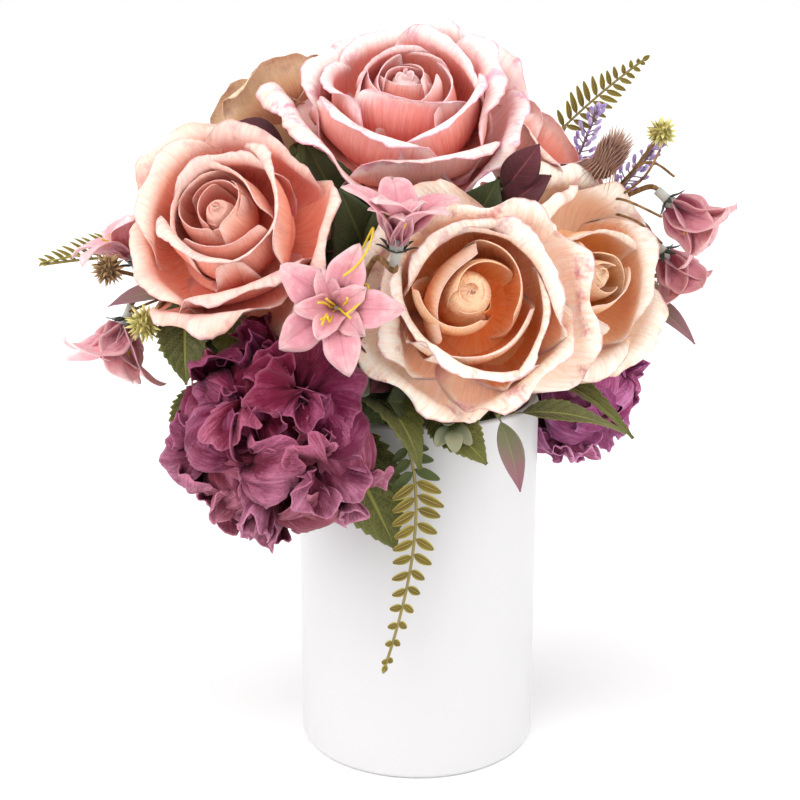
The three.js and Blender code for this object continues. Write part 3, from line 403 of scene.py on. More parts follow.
def petal_shape(stage, seed):
    """One petal: highest at its middle, its rolled rim wider to one side, its side edges out over the next.
    The draws make each petal a little different; corner is how square its outline is."""
    draw = [jitter(seed + 0.37 * k) for k in range(10)]
    age = stage["age"]
    open_out = smooth(age * 2)
    corner = mix(1.9, 3.6, open_out)
    point = (0.03 + 0.08 * abs(draw[2])) * open_out
    lap = mix(1.6, 2.2, age)
    skew = mix(4, 7, age) * draw[3]
    flare = (1.5 + 2.5 * abs(draw[8])) * open_out

    def shape(u, v):
        v = v * (1.6 - 0.6 * v)
        side = np.abs(u)
        nicks = np.sin(17 * u + 9 * draw[4]) + 0.7 * np.sin(41 * u + 5 * draw[5])
        edge = EDGE_NICK * nicks * smooth(v * 2 - 1)
        reach = v * (np.sqrt(1 - 0.9 * side**corner) + point * np.exp(-((side / 0.2) ** 2)) + edge)
        roll = stage["roll"] * mix(0.7, 1.1, smooth(side * 1.6)) * (1 + 0.2 * draw[0] + 0.5 * draw[1] * u)
        r, z = petal_line(stage, reach, roll)
        r = r + lap * u * smooth(v * 1.5)
        z = z + RIM_FRILL * np.sin(67 * u + 9 * draw[6]) * smooth((v - 0.9) * 10) * age
        spread = mix(0.42, 1, smooth(v / 0.7))
        bend = np.maximum(r, TIGHTEST_BEND) * stage["flat"]
        angle = stage["half"] * spread * u / bend
        long_wave = np.sin(3.2 * u + 5 * draw[6]) * v**3
        short_wave = 0.4 * np.sin(8.5 * u + 7 * draw[7]) * v**6
        wave = stage["ruffle"] * (long_wave + short_wave)
        flute = RIB_FLUTE * np.sin(24 * u + 3 * draw[1]) * v**2 * (1 - v) * 4 * age
        fold = SOFT_FOLD * np.abs(np.sin(5.5 * u + 2.5 * v + 6 * draw[9])) * v**2 * age**2
        open_side = flare * smooth((side - 0.45) * 1.8) * v**2 + fold
        x = bend * np.sin(angle)
        y = r - bend * (1 - np.cos(angle)) + wave + flute + open_side
        return stack(x, y, z - stage["droop"] * side**2 * v + wave * 0.5 + skew * u * v)

    return shape


BUD_TURNS = 2.4
BUD_PETALS = 6
BUD_ROOT = 12
BUD_HEIGHT = 24.5
BUD_STEP_DOWN = 6.5
BUD_TIP = 1.9
BUD_GIRTH = 8.6
BUD_TAPER = 0.38
BUD_GAP = 0.35


def scrolled_bud(seed):
    """The bud at a rose's heart: small petals rolled up tightly as one scroll that narrows to its top."""

    def shape(u, v):
        turn = (u + 1) / 2
        angle = 2 * math.pi * BUD_TURNS * turn + seed
        lap = (turn * BUD_PETALS + 0.2 * seed) % 1
        tip = BUD_TIP * np.abs(2 * lap - 1) ** 3
        girth = mix(0.5, BUD_GIRTH, turn**0.85)
        radius = girth * (1 - BUD_TAPER * smooth(v * 1.3 - 0.3)) * mix(0.75, 1, smooth(v * 4))
        radius = radius + BUD_GAP * (1 - 2 * lap) * v
        height = BUD_ROOT + (BUD_HEIGHT - BUD_STEP_DOWN * turn**1.3 - tip * smooth(turn * 5)) * v
        return stack(radius * np.cos(angle), radius * np.sin(angle), height)

    return shape


CUP_RADII = [3, 4, 8, 15, 21, 23, 22, 17, 9, 3.5]
CUP_HEIGHTS = [28, 17, 12, 9.5, 9, 8, 7, 3.5, 0.5, 0.2]
CORE_RADII = [3, 5.5, 6.2, 6, 4.2, 0.2]
CORE_HEIGHTS = [10, 14, 20, 27, 32, 34]


def turned(radii, heights):
    """A shape turned on the rose's axis: the shallow cup that holds the petals, or the bud's core."""

    def shape(u, v):
        levels = np.linspace(0, 1, len(radii))
        radius, height = np.interp(v, levels, radii), np.interp(v, levels, heights)
        return stack(radius * np.cos(math.pi * u), radius * np.sin(math.pi * u), height)

    return shape


def petal_cloth(name, heart, cloth, rim, blush, blotch, fade_and_highlight, young, highlight_heights, pale_from):
    """Pressed satin cloth: deep at the heart, pale on the rolled rim, with fine ribs from root to rim."""
    satin = Finish(name, Roughness=0.62, Sheen_Weight=0.12, Sheen_Roughness=0.4, Specular_IOR_Level=0.3,
                   Subsurface_Weight=0.12, Subsurface_Scale=1.2 * MM)
    tone, age = satin.mark("tone"), satin.mark("age")
    place = satin.coords("Object")
    cut = satin.add("SeparateXYZ", {"Vector": satin.coords("UV")})
    across, along = cut, cut.node.outputs["Y"]
    broad_ribs, fine_ribs = satin.coords("UV", (46, 2.2, 1)), satin.coords("UV", (120, 5, 1))
    ribs = satin.noise(satin.shifted(broad_ribs, satin.math("MULTIPLY", tone, 31)), 1, 3)
    fine = satin.noise(satin.shifted(fine_ribs, satin.math("MULTIPLY", tone, 17)), 1, 2)
    cloud = satin.noise(place, 62, 3)

    # From the root outwards: the heart's colour, the blade's, and the rim's, with uneven borders.
    lift = satin.math("MULTIPLY_ADD", satin.math("SUBTRACT", ribs, 0.5), 0.35, along)
    lift = satin.math("MULTIPLY_ADD", satin.math("SUBTRACT", cloud, 0.5), 0.3, lift)
    colour = satin.mix(satin.step(lift, 0.18, 0.66), tint(heart), tint(cloth))
    older = satin.step(age, 0.0, 0.5, young, 1)
    pale = satin.math("MULTIPLY", satin.step(lift, pale_from, pale_from + 0.3), older)
    colour = satin.mix(pale, colour, tint(rim))

    # The oldest petals are faded paler, and a painted highlight makes them paler still
    # where they stand highest, in the light.
    level = satin.add("SeparateXYZ", {"Vector": place}, "Z")
    faded_and_lit = satin.math("MULTIPLY", satin.step(age, 0.5, 1.0, 0, fade_and_highlight), satin.step(level, *highlight_heights, 0.3))
    colour = satin.mix(faded_and_lit, colour, tint(rim))

    # Stains on the outer half, a stained hem, and tanned patches at the edges of old petals.
    stain = satin.noise(satin.shifted(place, satin.math("MULTIPLY", tone, 0.11)), 85, 4, 0.62)
    strength = satin.math("MULTIPLY", satin.step(age, 0.2, 1.0, 0.25, 1.0), blotch)
    stained = satin.math("MULTIPLY", satin.step(stain, 0.52, 0.68), satin.step(along, 0.35, 0.75))
    colour = satin.mix(satin.math("MULTIPLY", stained, strength), colour, tint(blush))
    middle = satin.math("ABSOLUTE", satin.math("MULTIPLY_ADD", across, 2, -1))
    hem = satin.math("MAXIMUM", middle, along)
    hemmed = satin.step(hem, 0.94, 1.0, 0, 0.6 * blotch + 0.15)
    hemmed = satin.math("MULTIPLY", hemmed, satin.step(age, 0, 0.6, 0.2, 1))
    colour = satin.mix(hemmed, colour, tint(blush))
    tanned = satin.math("MULTIPLY", satin.step(cloud, 0.45, 0.6), satin.step(hem, 0.72, 1.0))
    tanned = satin.math("MULTIPLY", tanned, satin.step(age, 0.6, 1.0, 0, 0.5))
    colour = satin.mix(tanned, colour, tint("#cfa583"))

    # The pressed ribs: streaks of the heart's colour along the broad ribs, and on the fine ribs a painted
    # highlight on their backs and painted shade in their grooves.
    colour = satin.mix(satin.step(ribs, 0.38, 0.68, 0, 0.24), colour, tint(heart))
    colour = satin.mix(satin.step(fine, 0.45, 0.62, 0, 0.12), colour, tint(rim))
    colour = satin.mix(satin.step(fine, 0.3, 0.45, 0.1, 0), colour, tint(blush))
    shade = satin.add("HueSaturation", {
        "Hue": satin.math("MULTIPLY_ADD", tone, 0.006, 0.5),
        "Value": satin.math("MULTIPLY_ADD", tone, 0.06, 1.0),
        "Color": colour,
    })
    normal = satin.bump(ribs, 0.8, 0.8 * MM)
    normal = satin.bump(fine, 0.7, 0.3 * MM, normal)
    normal = satin.bump(satin.noise(place, 190, 5), 0.45, 0.7 * MM, normal)
    return satin.done(shade, satin.step(ribs, 0.3, 0.7, 0.55, 0.7), normal)


PETAL_GRID = (30, 26)
BUD_GRID = (150, 20)
TURNED_GRID = (32, 27)
HEART_END = 0.6
HEART_BLEND = 0.45
CUP_LIFT = 0.5
DYE = ("heart", "cloth", "rim", "blush", "blotch", "fade_and_highlight", "young")


def rose_head(rose):
    """A whole head. Its heart, the petals younger than HEART_END, can be larger, deeper and off centre."""
    scale = rose["radius"] / ROSE_RADIUS
    out = Vector(rose["axis"]).normalized()
    base = Vector(rose["centre"]) - out * HEAD_DEPTH * scale
    place = placing(base, facing(out), scale)
    bud, sunk, aside = rose.get("bud", 1), rose.get("sunk", 0), Vector(rose.get("aside", (0, 0, 0)))
    petals = []
    for i, age in enumerate(rose["ages"]):
        seed = rose["seed"] + 1.5 * i
        turn = Quaternion((0, 0, 1), i * GOLDEN_ANGLE + rose["roll"])
        loose = 0.12 + 0.04 * age
        sway = Quaternion((1, 0, 0), loose * jitter(seed + 40))
        sway = sway @ Quaternion((0, 1, 0), loose * jitter(seed + 41))
        heart = min(1, max(0, (HEART_END - age) / HEART_BLEND))
        size = mix(1, bud, heart) + 0.07 * age * jitter(seed + 42)
        lowered = placing(Vector((0, 0, -sunk * heart)), turn @ sway, size)
        whole = Matrix.Translation(aside * heart) @ place @ lowered
        shape = petal_shape(petal_stage(age), seed)
        tone = jitter(seed + 50)
        petals.append(blade(lambda u, v: moved(shape(u, v), whole), *PETAL_GRID, tone=tone, age=age))
    middle = Matrix.Translation(aside) @ place @ placing((0, 0, -sunk), Quaternion(), bud)
    scroll = scrolled_bud(rose["seed"])
    petals.append(blade(lambda u, v: moved(scroll(u, v), middle), *BUD_GRID, tone=0.2, age=0.05))
    cup = place @ Matrix.Translation((0, 0, CUP_LIFT))
    for radii, heights, whole in ((CUP_RADII, CUP_HEIGHTS, cup), (CORE_RADII, CORE_HEIGHTS, middle)):
        solid = turned(radii, heights)
        petals.append(blade(lambda u, v: moved(solid(u, v), whole), *TURNED_GRID, tone=0.0, age=0))
    dye = [rose[part] for part in DYE]
    # Roses without highlight_heights get no painted highlight: their oldest petals fade evenly at every
    # height.
    highlight_heights, pale_from = rose.get("highlight_heights", (-2, -1)), rose.get("pale_from", 0.54)
    cloth = petal_cloth(rose["name"] + "_cloth", *dye, highlight_heights, pale_from)
    return joined(rose["name"] + "_petals", petals, cloth, CLOTH)


for rose in ROSES:
    hand_in(rose_head(rose), rose["slot"], rose["name"])

# ---------- rose stems ----------
# Each head sits on a moulded green cup with five pointed sepals. The stem is florist's wire wound with green
# paper tape, pushed upright into the foam and then bent outwards to its rose.
FOAM_TOP = 138
HOLE_DEPTH = 40
MOUTH = FOAM_TOP + 3
STEM_RADIUS = 1.7
STEM_REACH = 28
CALYX_DEPTH = 9
CALYX_OVERLAP = 1
CALYX_SIDES = 16
CALYX_PROFILE = [
    (0, -CALYX_DEPTH), (1.9, -CALYX_DEPTH), (3.4, -7), (4.8, -4), (5.2, -1), (4.6, 1.5), (0, 2.5),
]
SEPALS = 5
SEPAL_LENGTH = 12
SEPAL_HALF = 3.4
SEPAL_GRID = (6, 12)


def stalk(bends, radius):
    """A round stalk along Bezier bends. Each bend is a place with its handles before and after."""
    curve = bpy.data.curves.new("stalk", "CURVE")
    curve.dimensions = "3D"
    curve.bevel_depth = radius * MM
    curve.bevel_resolution = 2
    curve.resolution_u = 10
    curve.use_fill_caps = True
    spline = curve.splines.new("BEZIER")
    spline.bezier_points.add(len(bends) - 1)
    for knot, (before, place, after) in zip(spline.bezier_points, bends):
        knot.handle_left, knot.co, knot.handle_right = [Vector(p) * MM for p in (before, place, after)]
    piece = bpy.data.objects.new("stalk", curve)
    bpy.context.scene.collection.objects.link(piece)
    bpy.ops.object.select_all(action="DESELECT")
    piece.select_set(True)
    bpy.context.view_layer.objects.active = piece
    bpy.ops.object.convert(target="MESH")
    return bpy.context.object


def stem_bends(hole, end, arrive, reach, rise=None):
    """A stem's course: upright in its hole in the foam, then one bend to its end."""
    up = Vector((0, 0, reach * 0.7 if rise is None else rise))
    bottom = Vector((*hole, FOAM_TOP - HOLE_DEPTH + 1))
    mouth = Vector((*hole, MOUTH))
    end, arrive = Vector(end), Vector(arrive).normalized()
    return [(bottom, bottom, mouth), (bottom, mouth, mouth + up), (end - arrive * reach, end, end + arrive)]


def on_bend(bends, t):
    """The point at t along a stem's last bend."""
    a, b = bends[-2][1:]
    c, d = bends[-1][:2]
    k = 1 - t
    return k**3 * a + 3 * k * k * t * b + 3 * k * t * t * c + t**3 * d


def spun(profile, sides, place):
    """A shape turned about its own +Z from a profile of radii and heights, put at its place."""
    mesh = bpy.data.meshes.new("spun")
    edges = [(i, i + 1) for i in range(len(profile) - 1)]
    mesh.from_pydata([(r * MM, 0, z * MM) for r, z in profile], edges, [])
    mesh.uv_layers.new(name="UVMap")
    piece = bpy.data.objects.new("spun", mesh)
    bpy.context.scene.collection.objects.link(piece)
    bpy.ops.object.select_all(action="DESELECT")
    piece.select_set(True)
    bpy.context.view_layer.objects.active = piece
    bpy.ops.object.mode_set(mode="EDIT")
    bpy.ops.mesh.select_all(action="SELECT")
    bpy.ops.mesh.spin(steps=sides, angle=2 * math.pi, center=(0, 0, 0), axis=(0, 0, 1))
    bpy.ops.mesh.select_all(action="SELECT")
    bpy.ops.mesh.remove_doubles(threshold=0.001 * MM)
    bpy.ops.mesh.normals_make_consistent(inside=False)
    bpy.ops.object.mode_set(mode="OBJECT")
    mesh.transform(Matrix.Scale(MM, 4) @ place @ Matrix.Scale(1 / MM, 4))
    return piece


def sepal(u, v):
    """A narrow pointed leaf that hugs the cup and turns out at its tip."""
    half = SEPAL_HALF * np.sin(math.pi * np.clip(0.12 + 0.88 * v, 0, 1)) ** 0.8 + 0.05
    away = 5.6 + 5 * v + 9 * v**3
    return stack(u * half, away - 0.12 * (u * half) ** 2, -3 + SEPAL_LENGTH * v - 4 * v**4)


def taped_stem():
    """Green paper tape, mottled, with fine fibres along it."""
    tape = Finish("stem_tape", Roughness=0.7, Specular_IOR_Level=0.25)
    place = tape.coords("Object")
    fibres = tape.noise(tape.coords("Object", (400, 400, 90)), 1, 3)
    colour = tape.mix(tape.noise(place, 40), tint("#454d27"), tint("#7a8350"))
    colour = tape.mix(tape.step(fibres, 0.4, 0.7, 0, 0.5), colour, tint("#2d331b"))
    return tape.done(colour, normal=tape.bump(fibres, 0.5, 0.3 * MM))


stem_tape = taped_stem()


def calyx(base, out, scale):
    """The moulded cup at the foot of a head, and its sepals, which are as large as the head asks."""
    place = placing(base, facing(out), scale)
    pieces = [spun(CALYX_PROFILE, CALYX_SIDES, placing(base, facing(out)))]
    for i in range(SEPALS):
        turned = place @ Quaternion((0, 0, 1), 2 * math.pi * i / SEPALS).to_matrix().to_4x4()
        leaf = blade(lambda u, v: moved(sepal(u, v), turned), *SEPAL_GRID)
        pieces.append(joined("sepal", [leaf], stem_tape, CLOTH))
    return pieces


for rose in ROSES:
    scale = rose["radius"] / ROSE_RADIUS
    out = Vector(rose["axis"]).normalized()
    base = Vector(rose["centre"]) - out * HEAD_DEPTH * scale
    end = base + out * (CALYX_OVERLAP - CALYX_DEPTH)
    bends = stem_bends(rose["hole"], end, out, rose.get("reach", STEM_REACH))
    green = joined(rose["name"] + "_wire", [stalk(bends, STEM_RADIUS), *calyx(base, out, scale)], stem_tape)
    hand_in(green, "green_stem", rose["name"] + "_stem")

# ---------- hydrangea heads ----------
# Three balls of crumpled polyester florets. Every floret is four broad petals stamped from one piece of cloth
# and crushed while hot, so that the rims curl; the florets are glued over the ball in two layers.
HYDRANGEA_RADIUS = 40
HEAD_COVER = 1.12
FLORET_PETALS = 4
FLORET_RADIUS = 19
FLORET_SLOPE = 0.72
FLORET_HEIGHT = 14
FLORET_TURN = 1.9
FLORET_LEAN = 0.3
FLORET_GRID = (22, 18)
# Each layer's shift along the spiral, the size of its florets, and how deep in the ball they are set.
FLORET_LAYERS = [(0, 1.16, 3), (0.5, 1.0, 7)]

# Of a leaf, at is how far along the stem's bend it starts, to is its tip, and up is where its top side looks.
HYDRANGEAS = [
    dict(name="hydrangea_front", slot="burgundy_floret", hole=(-22, -27),
         centre=(-52, -66, 153), axis=(-0.5, -0.8, -0.25), radius=40, florets=12, seed=20,
         heart="#56071a", cloth="#6b1838", rim="#b86c8a",
         leaves=[
             dict(at=0.5, to=(0, -74, 141), up=(0.3, -0.3, 0.9), width=24, lift=0.22),
             dict(at=0.72, to=(-9, -60, 104), up=(0.3, -1, 0), width=29),
             dict(at=0.6, to=(-84, -42, 192), up=(-0.3, -0.8, 0.5), width=24),
         ]),
    dict(name="hydrangea_right", slot="magenta_floret", hole=(31, 19),
         centre=(66, 38, 143), axis=(0.8, 0.5, -0.2), radius=34, florets=9, seed=40,
         heart="#5c0a30", cloth="#8a2a60", rim="#cf83b4",
         leaves=[
             dict(at=0.55, to=(88, -14, 135), up=(0.1, -0.1, 0.97), width=17),
             dict(at=0.5, to=(30, 72, 140), up=(0, 0.4, 0.9), width=22),
         ]),
    dict(name="hydrangea_back", slot="burgundy_floret", hole=(-27, 24),
         centre=(-64, 52, 160), axis=(-0.75, 0.65, -0.05), radius=36, florets=8, seed=60,
         heart="#56071a", cloth="#6b1838", rim="#b86c8a",
         leaves=[
             dict(at=0.45, to=(-96, 8, 150), up=(-0.3, -0.3, 0.9), width=22),
             dict(at=0.5, to=(-28, 80, 146), up=(0, 0.4, 0.9), width=22),
         ]),
]


def floret_petal(size, seed):
    """A broad petal, crushed so that its rim curls and its middle creases. The draws vary it."""
    draw = [jitter(seed + 0.43 * k) for k in range(12)]
    crush = size / FLORET_RADIUS

    def shape(u, v):
        edge = 1.05 - 0.2 * u**2 + 0.08 * np.sin(4 * u + 5 * draw[0]) + 0.035 * np.sin(13 * u + 9 * draw[1])
        distance = size * v * edge * (1 + 0.14 * draw[8])
        angle = u * mix(0.45, 1 + 0.15 * draw[2], smooth(v * 1.3)) + 0.35 * draw[3] * v
        tilt = FLORET_SLOPE + 0.32 * draw[4] + 0.35 * (1 - v) - (0.4 + 0.8 * draw[9]) * v**3
        wide = 3.0 * np.sin(2.8 * u + 3 * v + 6 * draw[5]) + 1.7 * np.sin(6.5 * u - 6 * v + 6 * draw[6])
        sharp = 1.2 * np.abs(np.sin(7 * u + 4 * v + 6 * draw[10]))
        crease = sharp + 0.45 * np.sin(19 * u + 11 * v + 6 * draw[11])
        curl = (1.5 + 4 * draw[7]) * u**2 * v + (wide + crease) * smooth(v * 1.4) * crush
        curl = curl + 1.2 * np.sin(11 * u + 6 * draw[0]) * v**6
        radial = distance * np.cos(tilt) - curl * np.sin(tilt)
        height = distance * np.sin(tilt) + curl * np.cos(tilt)
        return stack(radial * np.cos(angle), radial * np.sin(angle), height)

    return shape


def crushed_cloth(name, heart, cloth, rim, low, high):
    """Hydrangea cloth: wine-dark at the middle of a floret, mauve outwards, with fine branching veins.
    Painted shade: the ball is drawn darker and more saturated towards its top, which the roses above shade,
    and paler towards its underside, between the heights low and high."""
    silk = Finish(name, Roughness=0.75, Sheen_Weight=0.06, Specular_IOR_Level=0.2,
                  Subsurface_Weight=0.1, Subsurface_Scale=1 * MM)
    tone = silk.mark("tone")
    cut = silk.add("SeparateXYZ", {"Vector": silk.coords("UV")})
    across, along = cut, cut.node.outputs["Y"]
    place = silk.coords("Object")
    cloud = silk.noise(place, 90, 4, 0.65)
    lengthways = silk.coords("UV", (16, 2, 1))
    veins = silk.noise(silk.shifted(lengthways, silk.math("MULTIPLY", tone, 23)), 1, 4, 0.6)
    broad = silk.noise(place, 34, 2)

    # Wine-dark, then the cloth's colour, then the rim's, with borders that the noises make uneven.
    lift = silk.math("MULTIPLY_ADD", silk.math("SUBTRACT", cloud, 0.5), 0.9, along)
    lift = silk.math("MULTIPLY_ADD", silk.math("SUBTRACT", broad, 0.5), 1.3, lift)
    lift = silk.math("MULTIPLY_ADD", silk.math("SUBTRACT", veins, 0.5), 0.8, lift)
    colour = silk.mix(silk.step(lift, 0.05, 0.55), tint(heart), tint(cloth))
    colour = silk.mix(silk.step(lift, 0.6, 1.45), colour, tint(rim))

    # Broad veins and fine ones, dark along the middle of each, and a pale hem.
    ridge = silk.math("ABSOLUTE", silk.math("SUBTRACT", veins, 0.5))
    colour = silk.mix(silk.step(ridge, 0, 0.03, 0.5, 0), colour, tint(heart))
    fine = silk.noise(silk.shifted(silk.coords("UV", (44, 7, 1)), silk.math("MULTIPLY", tone, 37)), 1, 3, 0.6)
    hair = silk.math("ABSOLUTE", silk.math("SUBTRACT", fine, 0.5))
    colour = silk.mix(silk.step(hair, 0, 0.05, 0.4, 0), colour, tint(heart))
    colour = silk.mix(silk.step(fine, 0.55, 0.72, 0, 0.25), colour, tint(rim))
    hem = silk.math("MAXIMUM", silk.math("ABSOLUTE", silk.math("MULTIPLY_ADD", across, 2, -1)), along)
    colour = silk.mix(silk.step(hem, 0.965, 1.0, 0, 0.5), colour, tint(rim))

    # Painted shade: darker and more saturated towards the top of the ball, paler towards its underside.
    level = silk.add("SeparateXYZ", {"Vector": place}, "Z")
    shade = silk.add("HueSaturation", {
        "Hue": silk.math("MULTIPLY_ADD", tone, 0.012, 0.5),
        "Saturation": silk.step(level, low, high, 0.84, 1.15),
        "Value": silk.math("MULTIPLY_ADD", tone, 0.15, silk.step(level, low, high, 1.45, 0.72)),
        "Color": colour,
    })
    normal = silk.bump(veins, 0.9, 1.0 * MM)
    normal = silk.bump(fine, 0.7, 0.5 * MM, normal)
    normal = silk.bump(silk.noise(place, 170, 5, 0.65), 0.9, 1.1 * MM, normal)
    return silk.done(shade, silk.step(cloud, 0.3, 0.7, 0.6, 0.78), normal)


def hydrangea_petals(head):
    """A ball of florets, set on a spiral of golden angles in each layer."""
    core = head["radius"] - FLORET_HEIGHT
    place = placing(head["centre"], facing(Vector(head["axis"]).normalized()))
    size = FLORET_RADIUS * head["radius"] / HYDRANGEA_RADIUS
    petals = []
    for shift, share, deep in FLORET_LAYERS:
        for i in range(head["florets"]):
            height = 1 - (i + 0.5 + shift) * HEAD_COVER / head["florets"]
            turn = (i + shift * 3.4) * GOLDEN_ANGLE
            flat = math.sqrt(1 - height * height)
            out = Vector((flat * math.cos(turn), flat * math.sin(turn), height))
            astray = Vector((jitter(i + 9 * shift), jitter(i + 0.5), jitter(i + 0.9 + shift)))
            turned_out = facing(out + FLORET_LEAN * astray, i * FLORET_TURN + shift)
            floret = place @ placing(out * (core - deep), turned_out)
            for k in range(FLORET_PETALS):
                seed = head["seed"] + 11 * i + 2.3 * k + 50 * shift
                whole = floret @ Quaternion((0, 0, 1), 2 * math.pi * k / FLORET_PETALS).to_matrix().to_4x4()
                shape = floret_petal(size * share, seed)
                tone = jitter(seed + 5)
                petals.append(blade(lambda u, v: moved(shape(u, v), whole), *FLORET_GRID, tone=tone))
    foot, top = head["centre"][2] - head["radius"], head["centre"][2] + head["radius"]
    dye = [head[part] for part in ("heart", "cloth", "rim")]
    cloth = crushed_cloth(head["name"] + "_cloth", *dye, foot * MM, top * MM)
    return joined(head["name"] + "_florets", petals, cloth, CLOTH)


for head in HYDRANGEAS:
    hand_in(hydrangea_petals(head), head["slot"], head["name"])

# ---------- hydrangea stems and leaves ----------
# Taped wire stems with big saw-edged leaves. The leaves are printed polyester, pressed hot between veined
# plates, and their wired stalks are taped to the stem.
HYDRANGEA_REACH = 22
HYDRANGEA_RISE = 25
LEAF_GRID = (24, 90)
LEAF_STALK = 0.1
TEETH = 15
VEINS = 9


def leaf_shape(start, to, up, width, lift=0.12, fold=0.25, teeth=0.0, quilt=0.0):
    """A leaf from its stem to its tip, bowed towards its upper side and folded up along its midrib."""
    start, to, up = Vector(start), Vector(to), Vector(up).normalized()
    length = (to - start).length
    bow = (start + to) / 2 + up * 2 * lift * length
    a, b, c, over = [np.array(p) for p in (start, bow, to, up)]

    def shape(u, v):
        v, u = v[:, None], u[:, None]
        middle = (1 - v) ** 2 * a + 2 * v * (1 - v) * b + v**2 * c
        tangent = (1 - v) * (b - a) + v * (c - b)
        tangent = tangent / np.linalg.norm(tangent, axis=1, keepdims=True)
        side = np.cross(tangent, over)
        side = side / np.linalg.norm(side, axis=1, keepdims=True)
        normal = np.cross(side, tangent)
        body = np.sin(math.pi * np.clip((v - LEAF_STALK) / (1 - LEAF_STALK), 0, 1) ** 0.75)
        saw = 1 + teeth * ((v * TEETH) % 1 - 0.5) * np.abs(u) ** 5
        half = width / 2 * np.maximum(0.06, body * saw)
        ripple = 0.03 * width * np.sin(9 * v + 2 * u) * np.abs(u) ** 2
        swell = np.abs(np.sin(math.pi * VEINS * (v - 0.22 * np.abs(u))))
        pleat = quilt * swell * smooth(np.abs(u) * 4) * body
        return middle + side * u * half + normal * (np.abs(u) * half * fold + ripple + pleat)

    return shape


def printed_leaf(name, root, tip, vein, edge, shine=0.5, streak=0.5):
    """Leaf cloth printed root to tip, with a midrib, slanting side veins and a paler net between them."""
    leaf = Finish(name, Roughness=shine, Specular_IOR_Level=0.35, Sheen_Weight=0.1)
    tone = leaf.mark("tone")
    cut = leaf.add("SeparateXYZ", {"Vector": leaf.coords("UV")})
    across, along = cut, cut.node.outputs["Y"]
    middle = leaf.math("ABSOLUTE", leaf.math("MULTIPLY_ADD", across, 2, -1))
    place = leaf.coords("Object")
    cloud = leaf.noise(place, 70, 4, 0.6)
    drift = leaf.math("MULTIPLY_ADD", leaf.math("SUBTRACT", cloud, 0.5), 0.8, along)
    colour = leaf.mix(leaf.step(drift, 0.05, 0.95), tint(root), tint(tip))
    slant = leaf.math("MULTIPLY_ADD", middle, -0.22, along)
    beat = leaf.math("ABSOLUTE", leaf.math("SINE", leaf.math("MULTIPLY", slant, math.pi * VEINS)))
    side_vein = leaf.step(beat, 0.0, 0.2, 1, 0)
    midrib = leaf.step(middle, 0.02, 0.09, 1, 0)
    cells = {"Vector": leaf.coords("UV", (16, 34, 1)), "Scale": 1.0}
    net = leaf.add("TexVoronoi", cells, feature="DISTANCE_TO_EDGE")
    web = leaf.step(net, 0.02, 0.12, streak * 0.6, 0)
    lines = leaf.math("MAXIMUM", leaf.math("MULTIPLY", side_vein, streak), web)
    lines = leaf.math("MAXIMUM", lines, midrib)
    colour = leaf.mix(lines, colour, tint(vein))
    colour = leaf.mix(leaf.step(middle, 0.86, 1.0, 0, 0.55), colour, tint(edge))
    shade = leaf.add("HueSaturation", {"Value": leaf.math("MULTIPLY_ADD", tone, 0.12, 1.0), "Color": colour})
    normal = leaf.bump(lines, 0.5, -0.4 * MM)
    normal = leaf.bump(leaf.noise(place, 300, 3), 0.3, 0.4 * MM, normal)
    return leaf.done(shade, leaf.step(cloud, 0.3, 0.7, shine - 0.08, shine + 0.12), normal)


serrated_print = printed_leaf("serrated_leaf_print", "#2e3010", "#56591f", "#8f9040", "#7d7c33")
for head in HYDRANGEAS:
    out = Vector(head["axis"]).normalized()
    end = Vector(head["centre"]) + out * (CALYX_OVERLAP - CALYX_DEPTH)
    bends = stem_bends(head["hole"], end, out, HYDRANGEA_REACH, HYDRANGEA_RISE)
    cup = spun(CALYX_PROFILE, CALYX_SIDES, placing(head["centre"], facing(out)))
    wire = joined(head["name"] + "_wire", [stalk(bends, STEM_RADIUS), cup], stem_tape)
    hand_in(wire, "serrated_leaf", head["name"] + "_stem")
    leaves = []
    for k, leaf in enumerate(head["leaves"]):
        start, lift = on_bend(bends, leaf["at"]), leaf.get("lift", 0.12)
        shape = leaf_shape(start, leaf["to"], leaf["up"], leaf["width"], lift, teeth=0.16, quilt=0.5)
        leaves.append(blade(shape, *LEAF_GRID, tone=jitter(head["seed"] + k)))
    leaves = joined(head["name"] + "_leaves", leaves, serrated_print, CLOTH)
    hand_in(leaves, "serrated_leaf", head["name"] + "_stem")

# ---------- star lilies ----------
# Small stars of sheer pink cloth, double ones with a smaller star folded inside. Each is glued into a white
# tube with a spiky green calyx, round a bunch of kinked yellow threads, and slips over the end of its twig.
LILY_TUBE = 9
LILY_CUP = 4
TUBE_PROFILE = [
    (1.75, 0), (1.95, 0), (2.0, 4), (2.7, LILY_TUBE - 1), (2.0, LILY_TUBE + 1), (0, LILY_TUBE + 1.5),
]
TUBE_SIDES = 16
STAR_POINTS = 5
STAR_HALF = 6.4
STAR_SHARPNESS = 0.7
INNER_SIZE = 0.66
INNER_HALF = 4.6
INNER_SHARPNESS = 0.1
STAR_GRID = (12, 22)
STAMENS = 7
THREAD_RADIUS = 0.42
THREAD_BENDS = 5
THREAD_RISE = 2.9
CALYX_SPIKES = 7
SPIKE_GRID = (2, 6)

